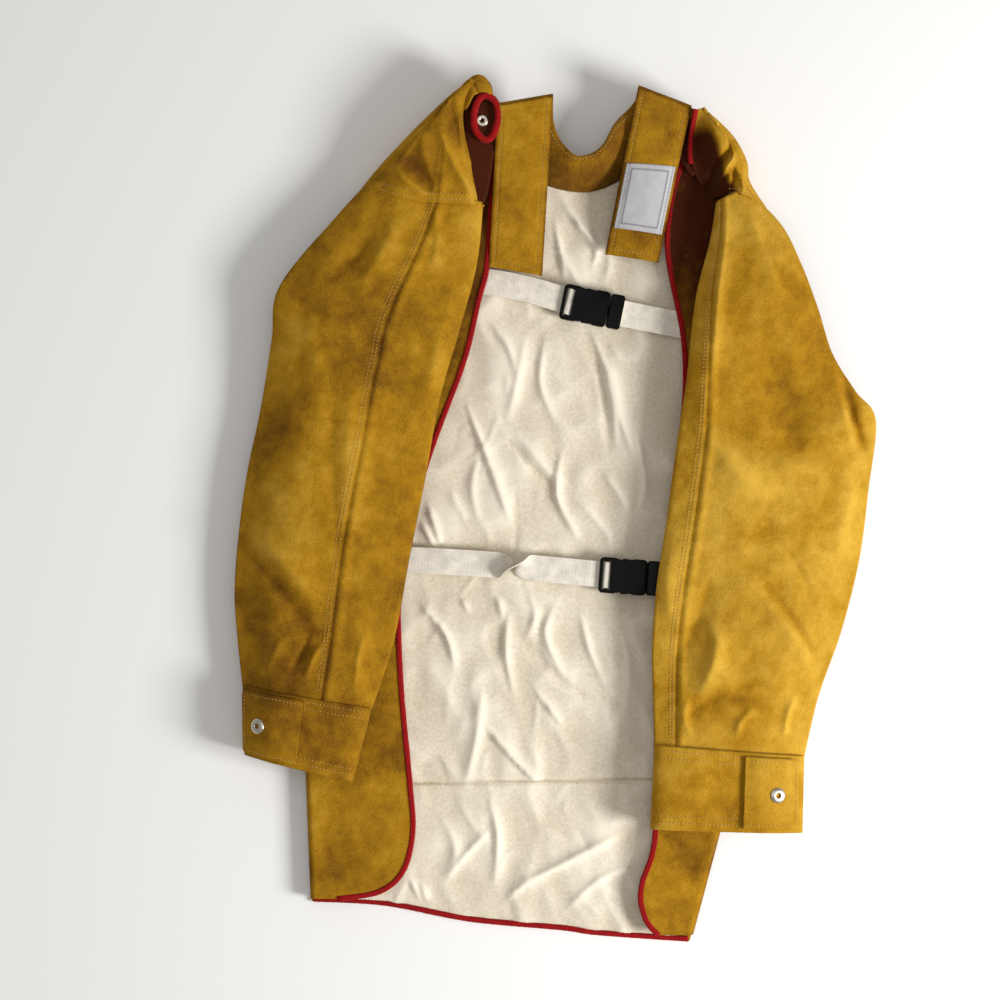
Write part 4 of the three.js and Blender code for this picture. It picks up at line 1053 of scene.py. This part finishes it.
def loop_shape(columns_top, columns_under):
    """Shares across and heights round a lying sleeve, from its outer edge over the top and back under it."""
    top = (1 - np.cos(np.linspace(0, math.pi, columns_top))) / 2
    top = mix(top, np.linspace(0, 1, columns_top), 0.5)
    under = (1 + np.cos(np.linspace(0, math.pi, columns_under))) / 2
    across = np.r_[top, under[1:-1]]
    lean = np.abs(1 - 2 * across) ** (1 / SHELL_POWER)
    bow = np.sqrt(np.maximum(1 - lean ** 2, 0)) ** SHELL_POWER
    rise = 0.5 + 0.5 * bow * np.r_[np.ones(columns_top), -np.ones(columns_under - 2)]
    return across, rise


def tube_grid(outer, inner, across, rise, base, height):
    """Rings round a lying tube between its two edges, standing on base."""
    a, b = outer[:, None], inner[:, None]
    plan = a + (b - a) * across[None, :, None]
    return np.concatenate([plan, (base + rise[None] * height)[..., None]], -1)


SLEEVE_ROWS = 190
TOP_COLUMNS, UNDER_COLUMNS = 100, 34
THREAD_PROUD = 0.15


def sleeve_grid(name, sleeve):
    v = np.linspace(0, 1, SLEEVE_ROWS)
    outer, inner = curve(sleeve["outer"])(v), curve(sleeve["inner"])(v)
    across, rise = loop_shape(TOP_COLUMNS, UNDER_COLUMNS)
    full = mix(0.74, 1.0, smooth(v / 0.2))
    height = (mix(SLEEVE_TOP - SLEEVE_REST - 3.4, CUFF_HEIGHT, smooth(v)) * full + 1.6)[:, None]
    base = rest_height(sleeve, v[:, None], across[None])
    grid = tube_grid(outer, inner, across, rise, base, height)
    x, y = grid[..., 0], grid[..., 1]
    upper = smooth((rise[None] - 0.55) / 0.4)
    crown = -4.5 * (2 * across[None] - 1) ** 2 * smooth(v / 0.1)[:, None]
    folds = fold_height(x, y, SLEEVE_FOLDS[name], 1.5) * 1.5
    soft = undulation(x * 1.2, y * 0.8, 62, 71) * 2.2
    soft += undulation(x, y, 24, 83) * 0.7 + undulation(x, y, 9, 91) * 0.22
    ends = smooth((1 - v) / 0.05)[:, None]
    lift = (folds + soft * sizes().fold_depth) * upper * (0.25 + 0.75 * ends) + crown * upper
    seam = (across[None] - sleeve["seam"]) * np.linalg.norm(outer - inner, axis=1)[:, None]
    groove = -0.9 * np.exp(-(seam / 1.3) ** 2) + 1.5 * np.exp(-((seam + sleeve["side"] * 4.5) / 3.6) ** 2)
    on_top = rise[None] > 0.6
    pucker = 0.35 * np.sin(y / 2.7 + 3 * undulation(x * 0, y, 30, 5)) * np.exp(-(seam / 9) ** 2)
    grid[..., 2] += lift + (groove + pucker) * on_top
    # Painted highlights on the fold crests and painted shade in the folds, and a darker line along the seam.
    shade = np.clip((folds + soft * 0.5) * 0.03, -0.17, 0.14) - 0.2 * np.exp(-(seam / 1.2) ** 2) * on_top
    # Painted shade on the underside, which turns down under the sleeve.
    shade = shade + SLEEVE_TONE_AND_LIGHT[name] - 0.3 * (1 - smooth(rise[None] / 0.7))
    return grid, shade


def build_sleeves():
    for name, sleeve in SLEEVES.items():
        grid, shade = sleeve_grid(name, sleeve)
        piece = sheet_piece(f"{name}_sleeve_leather", grid, "leather", sizes().leather / MM, closed=True,
                            shade=shade)
        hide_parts(f"{name}_sleeve_upper_panel", f"{name}_sleeve_under_panel")
        across, _ = loop_shape(TOP_COLUMNS, UNDER_COLUMNS)
        width = np.linalg.norm(curve(sleeve["outer"])(0.5) - curve(sleeve["inner"])(0.5))
        rows = np.linspace(3, SLEEVE_ROWS - 3, 260)
        lines = []
        for away in (4.0, 7.5):
            share = sleeve["seam"] + sleeve["side"] * away / width
            column = np.interp(share, across[:TOP_COLUMNS], np.arange(TOP_COLUMNS))
            lines.append(on_grid(grid, rows, column))
        thread = stitches(f"{name}_sleeve_stitching", lines, THREAD_PROUD)
        for moving in (piece, thread):
            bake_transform(moving)


# ---------- cuffs ----------
CUFF_PLY = 2.4
CUFF_ROWS = 34
CUFF_TOP, CUFF_UNDER = 72, 30  # columns over the top and underneath
TAB_ROWS, TAB_COLUMNS = 30, 40


def cuff_grid(sleeve):
    v = np.linspace(0, 1, CUFF_ROWS)
    outer, inner = curve(sleeve["cuff_outer"])(v), curve(sleeve["cuff_inner"])(v)
    across, rise = loop_shape(CUFF_TOP, CUFF_UNDER)
    base = rest_height(sleeve, 1.0, across[None])
    grid = tube_grid(outer, inner, across, rise, base, np.full((CUFF_ROWS, 1), CUFF_HEIGHT + 2 * CUFF_PLY))
    x, y = grid[..., 0], grid[..., 1]
    wave = undulation(x, y, 40, 17) * 0.9 + undulation(x, y, 14, 19) * 0.3
    grid[..., 2] += wave * smooth((rise[None] - 0.6) / 0.4)
    return grid, across


def build_cuffs():
    for name, sleeve in SLEEVES.items():
        grid, _ = cuff_grid(sleeve)
        # The cuff takes its sleeve's tone and painted light, a little darker.
        tone = undulation(grid[..., 0], grid[..., 1], 30, 29) * 0.05 + SLEEVE_TONE_AND_LIGHT[name] - 0.04
        band = sheet_piece(f"{name}_cuff_leather", grid, "leather", CUFF_PLY, closed=True, shade=tone)
        fit(band, f"{name}_sleeve", "leather", f"{name}_cuff_band")
        columns = np.linspace(3, CUFF_TOP - 4, 120)
        lines = [on_grid(grid[:, :CUFF_TOP], row, columns)
                 for row in (2.0, 5.0, CUFF_ROWS - 6.5, CUFF_ROWS - 4.0)]
        fit(stitches(f"{name}_cuff_stitching", lines, THREAD_PROUD), f"{name}_sleeve", "leather")
        build_cuff_tab(name, sleeve)


def build_cuff_tab(name, sleeve):
    """The overlap that carries the snap: leather with rounded corners and stitches round its edge."""
    tip, root = sleeve["tab"]
    base, across = cuff_grid(sleeve)
    outward = grid_normals(base, True) * facing_out(base, True)
    column_at = lambda share: np.interp(share, across[:CUFF_TOP], np.arange(CUFF_TOP))
    r, c = np.meshgrid(np.linspace(0.05, 0.95, TAB_ROWS) * (CUFF_ROWS - 1),
                       column_at(np.linspace(root - 0.012, tip, TAB_COLUMNS)), indexing="ij")
    corner = 0.12
    inset = np.maximum(0, np.abs(np.linspace(-1, 1, TAB_ROWS))[:, None] - (1 - corner)) ** 2 / corner ** 2
    along = np.linspace(0, 1, TAB_COLUMNS)
    c = c + inset * smooth((along[None] - 0.8) / 0.2) * (column_at(root) - c) * 0.09
    proud = mix(1.0, 2.4, smooth(along / 0.3)) + CUFF_PLY
    face = slice(0, CUFF_TOP + 1)
    surface = on_grid(base[:, face], r, c) + on_grid(outward[:, face], r, c) * proud[None, :, None]
    piece = sheet_piece(f"{name}_tab_leather", surface, "leather", CUFF_PLY,
                        shade=np.full(surface.shape[:2], SLEEVE_TONE_AND_LIGHT[name]))
    fit(piece, f"{name}_cuff_flap", "leather", f"{name}_cuff_tab")
    margin, side = 1.6, np.linspace(1, TAB_COLUMNS - 2.5, 60)
    lines = [on_grid(surface, margin, side), on_grid(surface, TAB_ROWS - 1 - margin, side),
             on_grid(surface, np.linspace(margin, TAB_ROWS - 1 - margin, 60), TAB_COLUMNS - 2.5)]
    fit(stitches(f"{name}_tab_stitching", lines, THREAD_PROUD), f"{name}_cuff_flap", "leather")


# ---------- collar ----------
COLLAR_THICK = 3.0
STAND_ROWS, STAND_COLUMNS = 150, 26
FLAP_ROWS, FLAP_COLUMNS = 110, 44
FOLD_ROWS = 28
LABEL_ROWS, LABEL_COLUMNS = 70, 50
LABEL_SIZE = (45, 68)
STAND_END = 42.2  # height of the stand's two ends, where the collar ends turn over
FOLD_BULGE = 5.0
FLAP_TOP = top_mm("left_collar_end")
FLAP_LOW = low_mm("left_collar_end")


def build_collar():
    v = np.linspace(0, 1, STAND_ROWS)
    sewn, free = curve(COLLAR_SEWN)(v), curve(COLLAR_FREE)(v)
    u = np.linspace(0, 1, STAND_COLUMNS)
    ends = np.abs(2 * v - 1) ** 5
    low, high = mix(5.0, STAND_END, ends), mix(37.0, STAND_END, ends)
    plan = sewn[:, None] + (free - sewn)[:, None] * u[None, :, None]
    z = low[:, None] + (high - low)[:, None] * np.sin(u * math.pi / 2)[None]
    grid = np.concatenate([plan, z[..., None]], -1)
    x, y = grid[..., 0], grid[..., 1]
    crumple = np.sin(v * 21)[:, None] * 1.8 * u[None] + undulation(x, y, 22, 37) * 1.3 * u[None]
    grid[..., 2] += crumple * (1 - ends)[:, None]
    grid[..., 1] += (np.sin(v * 17 + 1)[:, None] * 2.2 * u[None] ** 2) * (1 - ends)[:, None]
    stand = sheet_piece("collar_leather", grid, "leather", COLLAR_THICK,
                        shade=np.broadcast_to(-0.2 - 0.1 * (1 - u)[None], grid.shape[:2]))
    fit(stand, "jacket_body", "leather", "collar_stand")
    edge = on_grid(grid, np.linspace(6, STAND_ROWS - 7, STAND_ROWS), STAND_COLUMNS - 3.5)
    fit(stitches("collar_stitching", [edge], 0.3), "jacket_body", "leather")
    for name, flap in FLAPS.items():
        build_flap(name, flap)


def flap_grid(flap):
    """A collar end's upper face, from the fold at its top down to its free end."""
    v = np.linspace(0, 1, FLAP_ROWS)
    u = np.linspace(0, 1, FLAP_COLUMNS)
    top, bottom = np.array(flap["top"], float), np.array(flap["bottom"], float)
    a = top[0] + (bottom[0] - top[0]) * v[:, None]
    b = top[1] + (bottom[1] - top[1]) * v[:, None]
    plan = a[:, None] + (b - a)[:, None] * u[None, :, None]
    rise = (1 - v) ** 1.6 + 0.12 * np.sin(np.pi * v)
    z = FLAP_LOW + COLLAR_THICK + (FLAP_TOP - COLLAR_THICK - FLAP_LOW) * rise
    grid = np.concatenate([plan, np.broadcast_to(z[:, None], plan.shape[:2])[..., None]], -1)
    x, y = grid[..., 0], grid[..., 1]
    edge = np.minimum(np.minimum(u, 1 - u)[None] * 52, np.minimum(v, 1 - v)[:, None] * 150)
    pad = 0.9 * smooth(edge / 5)
    channel = -0.8 * np.exp(-((edge - 5.5) / 1.2) ** 2)
    grid[..., 2] += pad + channel + undulation(x, y, 40, 53) * 0.9 + undulation(x, y, 14, 57) * 0.25
    grid[..., 2] -= 3.0 * (2 * u - 1)[None] ** 2 * smooth(v * 3)[:, None]
    return grid


def build_flap(name, flap):
    """One padded collar end with its stitching and fastener, and the label on the right one."""
    grid = flap_grid(flap)
    u = np.linspace(0, 1, grid.shape[1])
    # Painted shade: the right collar end is painted darker, as if it lay in shade; both long edges are darker.
    shade = np.full(grid.shape[:2], 0.0 if flap["side"] < 0 else -0.13)
    shade = shade - 0.25 * smooth((np.abs(2 * u - 1) - 0.86) / 0.14)[None]
    piece = sheet_piece(f"{name}_collar_leather", grid, "leather", COLLAR_THICK + 0.8, shade=shade)
    fit(piece, f"{name}_collar_flap", "leather", f"{name}_collar_end")
    build_collar_fold(name, flap, grid)
    rows, columns = FLAP_ROWS - 1, FLAP_COLUMNS - 1
    inset, side = 4.4, np.linspace(1, rows - 4, 200)
    lines = [on_grid(grid, side, inset), on_grid(grid, side, columns - inset),
             on_grid(grid, rows - 4.0, np.linspace(inset, columns - inset, 90))]
    fit(stitches(f"{name}_collar_end_stitching", lines, 0.25), f"{name}_collar_flap", "leather")
    NODES[f"{name}_collar_fastener"].data.materials.clear()
    NODES[f"{name}_collar_fastener"].data.materials.append(material("hook"))
    if name == "right":
        build_label(grid)


def build_collar_fold(name, flap, grid):
    """The leather that turns over between the stand and a collar end."""
    across = np.linspace(0, 1, grid.shape[1])[:, None]
    end = 0 if flap["side"] < 0 else -1
    sewn, free = np.array(COLLAR_SEWN[end], float), np.array(COLLAR_FREE[end], float)
    stand = sewn + (free - sewn) * across if flap["side"] < 0 else free + (sewn - free) * across
    root = grid[0, :, :2]
    away = np.array(flap["top"][0], float) - flap["bottom"][0]
    turned = root + FOLD_BULGE * unit(away)
    low, high = STAND_END - COLLAR_THICK / 2, grid[0, :, 2] - COLLAR_THICK / 2
    start = np.column_stack([stand, np.full(len(root), low)])
    middle = np.column_stack([turned, (low + high) / 2])
    stop = np.column_stack([root, high])
    t = np.linspace(0, 1, FOLD_ROWS)[:, None, None]
    fold = sheet_piece(f"{name}_collar_fold", (1 - t) ** 2 * start + 2 * t * (1 - t) * middle + t ** 2 * stop,
                       "leather", 1.6, shade=np.full((FOLD_ROWS, len(root)), -0.25))
    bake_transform(fold)


def build_label(grid):
    """A blank woven label with a thin border, sewn on near its edge."""
    share, c = np.meshgrid(np.linspace(0, 1, LABEL_ROWS), np.linspace(0.07, 0.95, LABEL_COLUMNS),
                           indexing="ij")
    top, bottom = np.linspace(0.443, 0.381, LABEL_COLUMNS), np.linspace(0.835, 0.822, LABEL_COLUMNS)
    surface = on_grid(grid, mix(top[None], bottom[None], share) * (FLAP_ROWS - 1), c * (FLAP_COLUMNS - 1))
    x, y = surface[..., 0], surface[..., 1]
    surface[..., 2] += 1.1 + undulation(x, y, 20, 67) * 0.3
    width, height = LABEL_SIZE
    u, v = np.linspace(0, width, LABEL_COLUMNS)[None], np.linspace(0, height, LABEL_ROWS)[:, None]
    inset = np.minimum(np.minimum(u, width - u), np.minimum(v, height - v))
    label = sheet_piece("blank_label", surface, "label", 0.6, shade=np.exp(-((inset - 5.5) / 0.7) ** 2))
    fit(label, "right_collar_flap", "label", "size_label")
    edge = 1.6
    wide, tall = np.linspace(1, LABEL_COLUMNS - 2, 60), np.linspace(1, LABEL_ROWS - 2, 80)
    sides = [on_grid(surface, edge, wide), on_grid(surface, LABEL_ROWS - 1 - edge, wide),
             on_grid(surface, tall, edge), on_grid(surface, tall, LABEL_COLUMNS - 1 - edge)]
    fit(stitches("label_stitching", sides, 0.1, "label", 1.8, 0.25), "right_collar_flap", "label")


# ---------- straps ----------
BUCKLE_Z = 13.8
LOOP_END, BODY_LENGTH, PLUG_LENGTH = 11.0, 34.0, 13.6
STRAPS = {
    "upper": {"mouth": (50, 191), "angle": -11.5, "left": -153, "right": 78, "bow": 5.0, "twist": None},
    "lower": {"mouth": (86, -64.6), "angle": -4.2, "left": -256, "right": 50, "bow": 2.0,
              "twist": (-148, -104)},
}


def strap_frame(strap):
    """A strap's buckle mouth, and the directions along and across the strap."""
    angle = math.radians(strap["angle"])
    along = np.array([math.cos(angle), math.sin(angle), 0])
    aside = np.array([-along[1], along[0], 0])
    origin = np.array([*strap["mouth"], BUCKLE_Z])
    return origin, along, aside


def ribbon_piece(name, strap, route, twist=None, bow=0.0):
    """Webbing along a route of (distance along the strap, height) points, with an optional half twist."""
    origin, along, aside = strap_frame(strap)
    route = curve(route)(np.linspace(0, 1, 260))
    s, z = route[:, 0], route[:, 1]
    span = np.clip((s - s.min()) / (s.max() - s.min()), 0, 1)
    path = origin + along * s[:, None] + np.array([0, 0, 1.0]) * z[:, None]
    path = path + aside * (bow * np.sin(math.pi * span))[:, None]
    roll = np.zeros(len(s))
    if twist:
        roll = math.pi * smooth((s - twist[0]) / (twist[1] - twist[0])) * (s > s[0])
        path[:, 2] += 4.5 * np.sin(roll) ** 2
    flat = np.broadcast_to(aside, path.shape)
    up = unit(np.cross(np.gradient(path, axis=0), flat))
    turned = up * np.cos(roll)[:, None] + flat * np.sin(roll)[:, None]
    section = rounded_section(sizes().webbing_width / MM, sizes().webbing / MM, 0.6)
    return swept_piece(name, path, section, "webbing", turned)


def build_straps():
    for name, strap in STRAPS.items():
        rear = -(LOOP_END + BODY_LENGTH)
        left = [(strap["left"], -0.4), (rear - 40, -0.9), (rear - 10, -0.4), (rear - 1, -0.95),
                (rear + 2.6, -0.95), (rear + 4.1, -0.2), (rear + 4.3, 0.9), (rear + 5.6, 1.95),
                (rear + 8.4, 1.95), (rear + 9.7, 0.8), (rear + 9.6, -2.6), (rear + 8.0, -3.75),
                (rear - 22, -3.75)]
        end = 0.4 + PLUG_LENGTH
        right = [(strap["right"], -0.4), (end + 6, -0.2), (end - 1, 1.85), (9.6, 1.85), (7.6, 1.2),
                 (7.4, -0.9), (8.8, -2.25), (end, -2.25), (end + 6, -3.15), (end + 22, -3.15)]
        pieces = {"left": ribbon_piece(f"{name}_webbing_left", strap, left, strap["twist"], strap["bow"]),
                  "right": ribbon_piece(f"{name}_webbing_right", strap, right)}
        for side, piece in pieces.items():
            fit(piece, "jacket_body", "webbing", f"{name}_strap_{side}")


# ---------- hard parts: the frame's own shapes with softened edges ----------
def softened(node_name, name, look, edge_mm, body, slot):
    """The frame's own solid with small rounded edges."""
    mesh = NODES[node_name].data.copy()
    mesh.name = name
    mesh.materials.clear()
    mesh.materials.append(material(look))
    piece = bpy.data.objects.new(name, mesh)
    bpy.context.scene.collection.objects.link(piece)
    weld = piece.modifiers.new("weld", "WELD")
    weld.merge_threshold = 0.00001
    bevel = piece.modifiers.new("edges", "BEVEL")
    bevel.width = edge_mm * MM
    bevel.segments = 2
    bevel.limit_method = "ANGLE"
    bevel.angle_limit = math.radians(28)
    bevel.harden_normals = True
    mesh.shade_smooth()
    fit(piece, body, slot, node_name)


def build_buckles():
    for strap in STRAPS:
        for part in ("housing", "plug"):
            softened(f"{strap}_buckle_{part}", f"{strap}_{part}_moulding", "plastic", 0.45, "jacket_body",
                     "plastic")
        for which in ("upper", "lower"):
            prong = f"{strap}_buckle_{which}_prong"
            softened(prong, f"{prong}_moulding", "plastic", 0.3, prong, "plastic")


def build_snaps():
    for name in SLEEVES:
        flap = f"{name}_cuff_flap"
        softened(f"{name}_snap_cap", f"{name}_cap_stamping", "nickel", 0.2, flap, "nickel")
        softened(f"{name}_snap_socket", f"{name}_socket_stamping", "nickel", 0.1, flap, "nickel")
        softened(f"{name}_snap_stud", f"{name}_stud_stamping", "nickel", 0.1, f"{name}_sleeve", "nickel")
    softened("neck_snap_socket", "neck_snap_stamping", "nickel", 0.2, "jacket_body", "nickel")


def build_neck_tab():
    """The bound end of the left back panel, curled over: a rolled red binding round a hollow painted dark as
    shade, under a hood of leather that comes over from the shoulder, and a sheet of painted shadow in the gap
    below."""
    centre = middle_mm("neck_tab") + [3.5 - SHIFT[0], 3 - SHIFT[1], 0]
    low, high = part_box("neck_tab")
    half = np.array([(high.x - low.x) / 2 / MM + 2.5, (high.y - low.y) / 2 / MM - 3.5])
    round_it = lambda count, grow: np.column_stack([
        centre[0] + (half[0] + grow) * np.cos(np.linspace(0, 2 * math.pi, count)),
        centre[1] + (half[1] + grow) * np.sin(np.linspace(0, 2 * math.pi, count))])
    # The hollow inside the binding, painted nearly black as shade.
    hollow = filled_piece("neck_tab_leather", round_it(73, 0.6)[:-1], 2.2,
                          lambda x, y: centre[2] + 0.8 + 0.3 * undulation(x, y, 8, 97), "leather", 1.6,
                          evenly(-1.0))
    # A sheet of painted shadow, nearly black, filling the gap along the yoke's inner edge.
    shadow_outline = [(-93, 396), (-80, 408), (-64, 407), (-59, 388), (-58, 362), (-60, 330), (-66, 296), (-74, 290),
               (-84, 334)]
    shadow_outline = curve(shadow_outline + shadow_outline[:1])(np.linspace(0, 1, 90))[:-1]
    under = filled_piece("neck_tab_painted_shadow", shadow_outline, 3, lambda x, y: centre[2] - 3 + 0 * x, "leather", 1.6,
                         evenly(-1.0))
    turn = np.linspace(0, 2 * math.pi, 90)
    rim = round_it(len(turn), 0)
    path = np.column_stack([rim + 0.5 * np.column_stack([np.sin(3 * turn), np.cos(2 * turn)]),
                            centre[2] + 3.6 + 2.4 * np.sin(turn)])
    binding = swept_piece("neck_tab_bias_binding", path, rounded_section(6.4, 7.0, 2.6), "binding",
                          (0, 0, 1), 0.04, 13)
    outline = [(-92, 398), (-86, 405), (-76, 410.5), (-68, 409), (-63, 402), (-60, 392), (-59, 384),
               (-61, 388), (-65, 393), (-73, 393), (-80, 388), (-86, 378), (-92, 384)]
    outline = curve(outline + outline[:1])(np.linspace(0, 1, 110))[:-1]
    dome = lambda x, y: (centre[2] + 11 - 0.012 * ((x + 76) ** 2 + (y - 394) ** 2)
                         + 0.4 * undulation(x, y, 9, 98) - 5 * smooth((-78 - x) / 10)
                         - 2.5 * np.exp(-(((x + 76 + (y - 396) * 0.5) / 2.2) ** 2)))
    hood = filled_piece("neck_tab_hood", outline, 1.6, dome, "leather", 1.6, evenly(-0.02))
    for piece, slot in ((hollow, "leather"), (under, "leather"), (binding, "binding"), (hood, "leather")):
        fit(piece, "jacket_body", slot)
    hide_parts("neck_tab")
    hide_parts("neck_tab_binding")


# ---------- stage ----------
# Metres and watts.
FLOOR_HALF = 14.0
LIGHTS = {
    "key_light": {"place": (1.8, -0.7, 1.25), "width": 0.75, "power": 60},
    "top_light": {"place": (-0.3, 0.2, 3.0), "width": 2.2, "power": 14},
}
CAMERA_AIM = Vector((-0.0515, 0.009, 0.02))
CAMERA_ELEVATION = math.radians(88)
CAMERA_FIELD = 0.95  # width that the picture takes in at the aim


def build_stage():
    side = FLOOR_HALF
    mesh = bpy.data.meshes.new("floor")
    corners = [(-side, -side, 0), (side, -side, 0), (side, side, 0), (-side, side, 0)]
    mesh.from_pydata(corners, [], [(0, 1, 2, 3)])
    mesh.materials.append(material("floor"))
    floor = bpy.data.objects.new("floor", mesh)
    bpy.context.scene.collection.objects.link(floor)
    floor.location.z = -0.0005
    floor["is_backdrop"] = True

    world = bpy.data.worlds.new("soft_studio")
    world.use_nodes = True
    sky = world.node_tree.nodes["Background"]
    sky.inputs["Color"].default_value = (*linear("#F6F4F0"), 1)
    sky.inputs["Strength"].default_value = 0.38
    bpy.context.scene.world = world
    for name, lamp in LIGHTS.items():
        light = bpy.data.lights.new(name, "AREA")
        light.size = lamp["width"]
        light.energy = lamp["power"]
        stand = bpy.data.objects.new(name, light)
        stand.location = lamp["place"]
        stand.rotation_euler = (-Vector(lamp["place"])).to_track_quat("-Z", "Y").to_euler()
        bpy.context.scene.collection.objects.link(stand)

    lens = bpy.data.cameras.new("camera")
    lens.lens = 85
    lens.sensor_width = 36
    lens.clip_end = 20
    camera = bpy.data.objects.new("camera", lens)
    bpy.context.scene.collection.objects.link(camera)
    away = Vector((0, -math.cos(CAMERA_ELEVATION), math.sin(CAMERA_ELEVATION)))
    camera.location = CAMERA_AIM + away * CAMERA_FIELD * lens.lens / lens.sensor_width
    camera.rotation_euler = (-away).to_track_quat("-Z", "Y").to_euler()
    bpy.context.scene.camera = camera
    bpy.context.scene.view_settings.view_transform = "Standard"


# ---------- the add-on ----------
class JACKET_OT_front(bpy.types.Operator):
    """Builds the front panel and its bound hem"""
    bl_idname = "jacket.front"
    bl_label = "Front panel and hem"
    bl_options = {"REGISTER", "UNDO"}

    def execute(self, context):
        build_front()
        return {"FINISHED"}


class JACKET_OT_lining(bpy.types.Operator):
    """Builds the creased cotton lining of the front"""
    bl_idname = "jacket.lining"
    bl_label = "Cotton lining"
    bl_options = {"REGISTER", "UNDO"}

    def execute(self, context):
        build_lining()
        return {"FINISHED"}


class JACKET_OT_back_panels(bpy.types.Operator):
    """Builds the two back panels and their red binding"""
    bl_idname = "jacket.back_panels"
    bl_label = "Back panels and their binding"
    bl_options = {"REGISTER", "UNDO"}

    def execute(self, context):
        build_back_panels()
        return {"FINISHED"}


class JACKET_OT_yokes(bpy.types.Operator):
    """Builds the two shoulder yokes"""
    bl_idname = "jacket.yokes"
    bl_label = "Shoulder yokes"
    bl_options = {"REGISTER", "UNDO"}

    def execute(self, context):
        build_yokes()
        return {"FINISHED"}


class JACKET_OT_sleeves(bpy.types.Operator):
    """Builds the two sleeves"""
    bl_idname = "jacket.sleeves"
    bl_label = "Sleeves"
    bl_options = {"REGISTER", "UNDO"}

    def execute(self, context):
        build_sleeves()
        return {"FINISHED"}


class JACKET_OT_cuffs(bpy.types.Operator):
    """Builds the cuffs and the tabs that overlap on them"""
    bl_idname = "jacket.cuffs"
    bl_label = "Cuffs and their tabs"
    bl_options = {"REGISTER", "UNDO"}

    def execute(self, context):
        build_cuffs()
        return {"FINISHED"}


class JACKET_OT_collar(bpy.types.Operator):
    """Builds the collar's stand, its two ends and the blank label"""
    bl_idname = "jacket.collar"
    bl_label = "Collar, its ends and the label"
    bl_options = {"REGISTER", "UNDO"}

    def execute(self, context):
        build_collar()
        return {"FINISHED"}


class JACKET_OT_straps(bpy.types.Operator):
    """Builds the four lengths of webbing"""
    bl_idname = "jacket.straps"
    bl_label = "Webbing straps"
    bl_options = {"REGISTER", "UNDO"}

    def execute(self, context):
        build_straps()
        return {"FINISHED"}


class JACKET_OT_buckles(bpy.types.Operator):
    """Builds the two side-release buckles"""
    bl_idname = "jacket.buckles"
    bl_label = "Buckles"
    bl_options = {"REGISTER", "UNDO"}

    def execute(self, context):
        build_buckles()
        return {"FINISHED"}


class JACKET_OT_snaps(bpy.types.Operator):
    """Builds the snaps of the cuffs and the neck"""
    bl_idname = "jacket.snaps"
    bl_label = "Snaps"
    bl_options = {"REGISTER", "UNDO"}

    def execute(self, context):
        build_snaps()
        return {"FINISHED"}


class JACKET_OT_neck_tab(bpy.types.Operator):
    """Builds the curled neck tab and its binding"""
    bl_idname = "jacket.neck_tab"
    bl_label = "Neck tab"
    bl_options = {"REGISTER", "UNDO"}

    def execute(self, context):
        build_neck_tab()
        return {"FINISHED"}


class JACKET_OT_stage(bpy.types.Operator):
    """Builds the floor, the lights and the camera"""
    bl_idname = "jacket.stage"
    bl_label = "Floor, lights and camera"
    bl_options = {"REGISTER", "UNDO"}

    def execute(self, context):
        build_stage()
        return {"FINISHED"}


OPERATORS = [JACKET_OT_front, JACKET_OT_lining, JACKET_OT_back_panels, JACKET_OT_yokes, JACKET_OT_sleeves,
             JACKET_OT_cuffs, JACKET_OT_collar, JACKET_OT_straps, JACKET_OT_buckles, JACKET_OT_snaps,
             JACKET_OT_neck_tab, JACKET_OT_stage]


class JACKET_PT_panel(bpy.types.Panel):
    """Lists the jacket's sizes, colours and building steps."""
    bl_label = "Welding jacket"
    bl_space_type = "VIEW_3D"
    bl_region_type = "UI"
    bl_category = "Jacket"

    def draw(self, context):
        for group in (context.scene.jacket_sizes, context.scene.jacket_colours):
            box = self.layout.box()
            for name in group.bl_rna.properties.keys():
                if name not in ("rna_type", "name"):
                    box.prop(group, name)
        for operator in OPERATORS:
            self.layout.operator(operator.bl_idname)


CLASSES = [JacketSizes, JacketColours, *OPERATORS, JACKET_PT_panel]


def register():
    for made in CLASSES:
        bpy.utils.register_class(made)
    bpy.types.Scene.jacket_sizes = bpy.props.PointerProperty(type=JacketSizes)
    bpy.types.Scene.jacket_colours = bpy.props.PointerProperty(type=JacketColours)


def unregister():
    del bpy.types.Scene.jacket_sizes
    del bpy.types.Scene.jacket_colours
    for made in reversed(CLASSES):
        bpy.utils.unregister_class(made)


def main():
    register()
    bpy.ops.jacket.front()
    bpy.ops.jacket.lining()
    bpy.ops.jacket.back_panels()
    bpy.ops.jacket.yokes()
    bpy.ops.jacket.sleeves()
    bpy.ops.jacket.cuffs()
    bpy.ops.jacket.collar()
    bpy.ops.jacket.straps()
    bpy.ops.jacket.buckles()
    bpy.ops.jacket.snaps()
    bpy.ops.jacket.neck_tab()
    bpy.ops.jacket.stage()
    visual = [list(corner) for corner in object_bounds()]


if __name__ == "__main__":
    main()
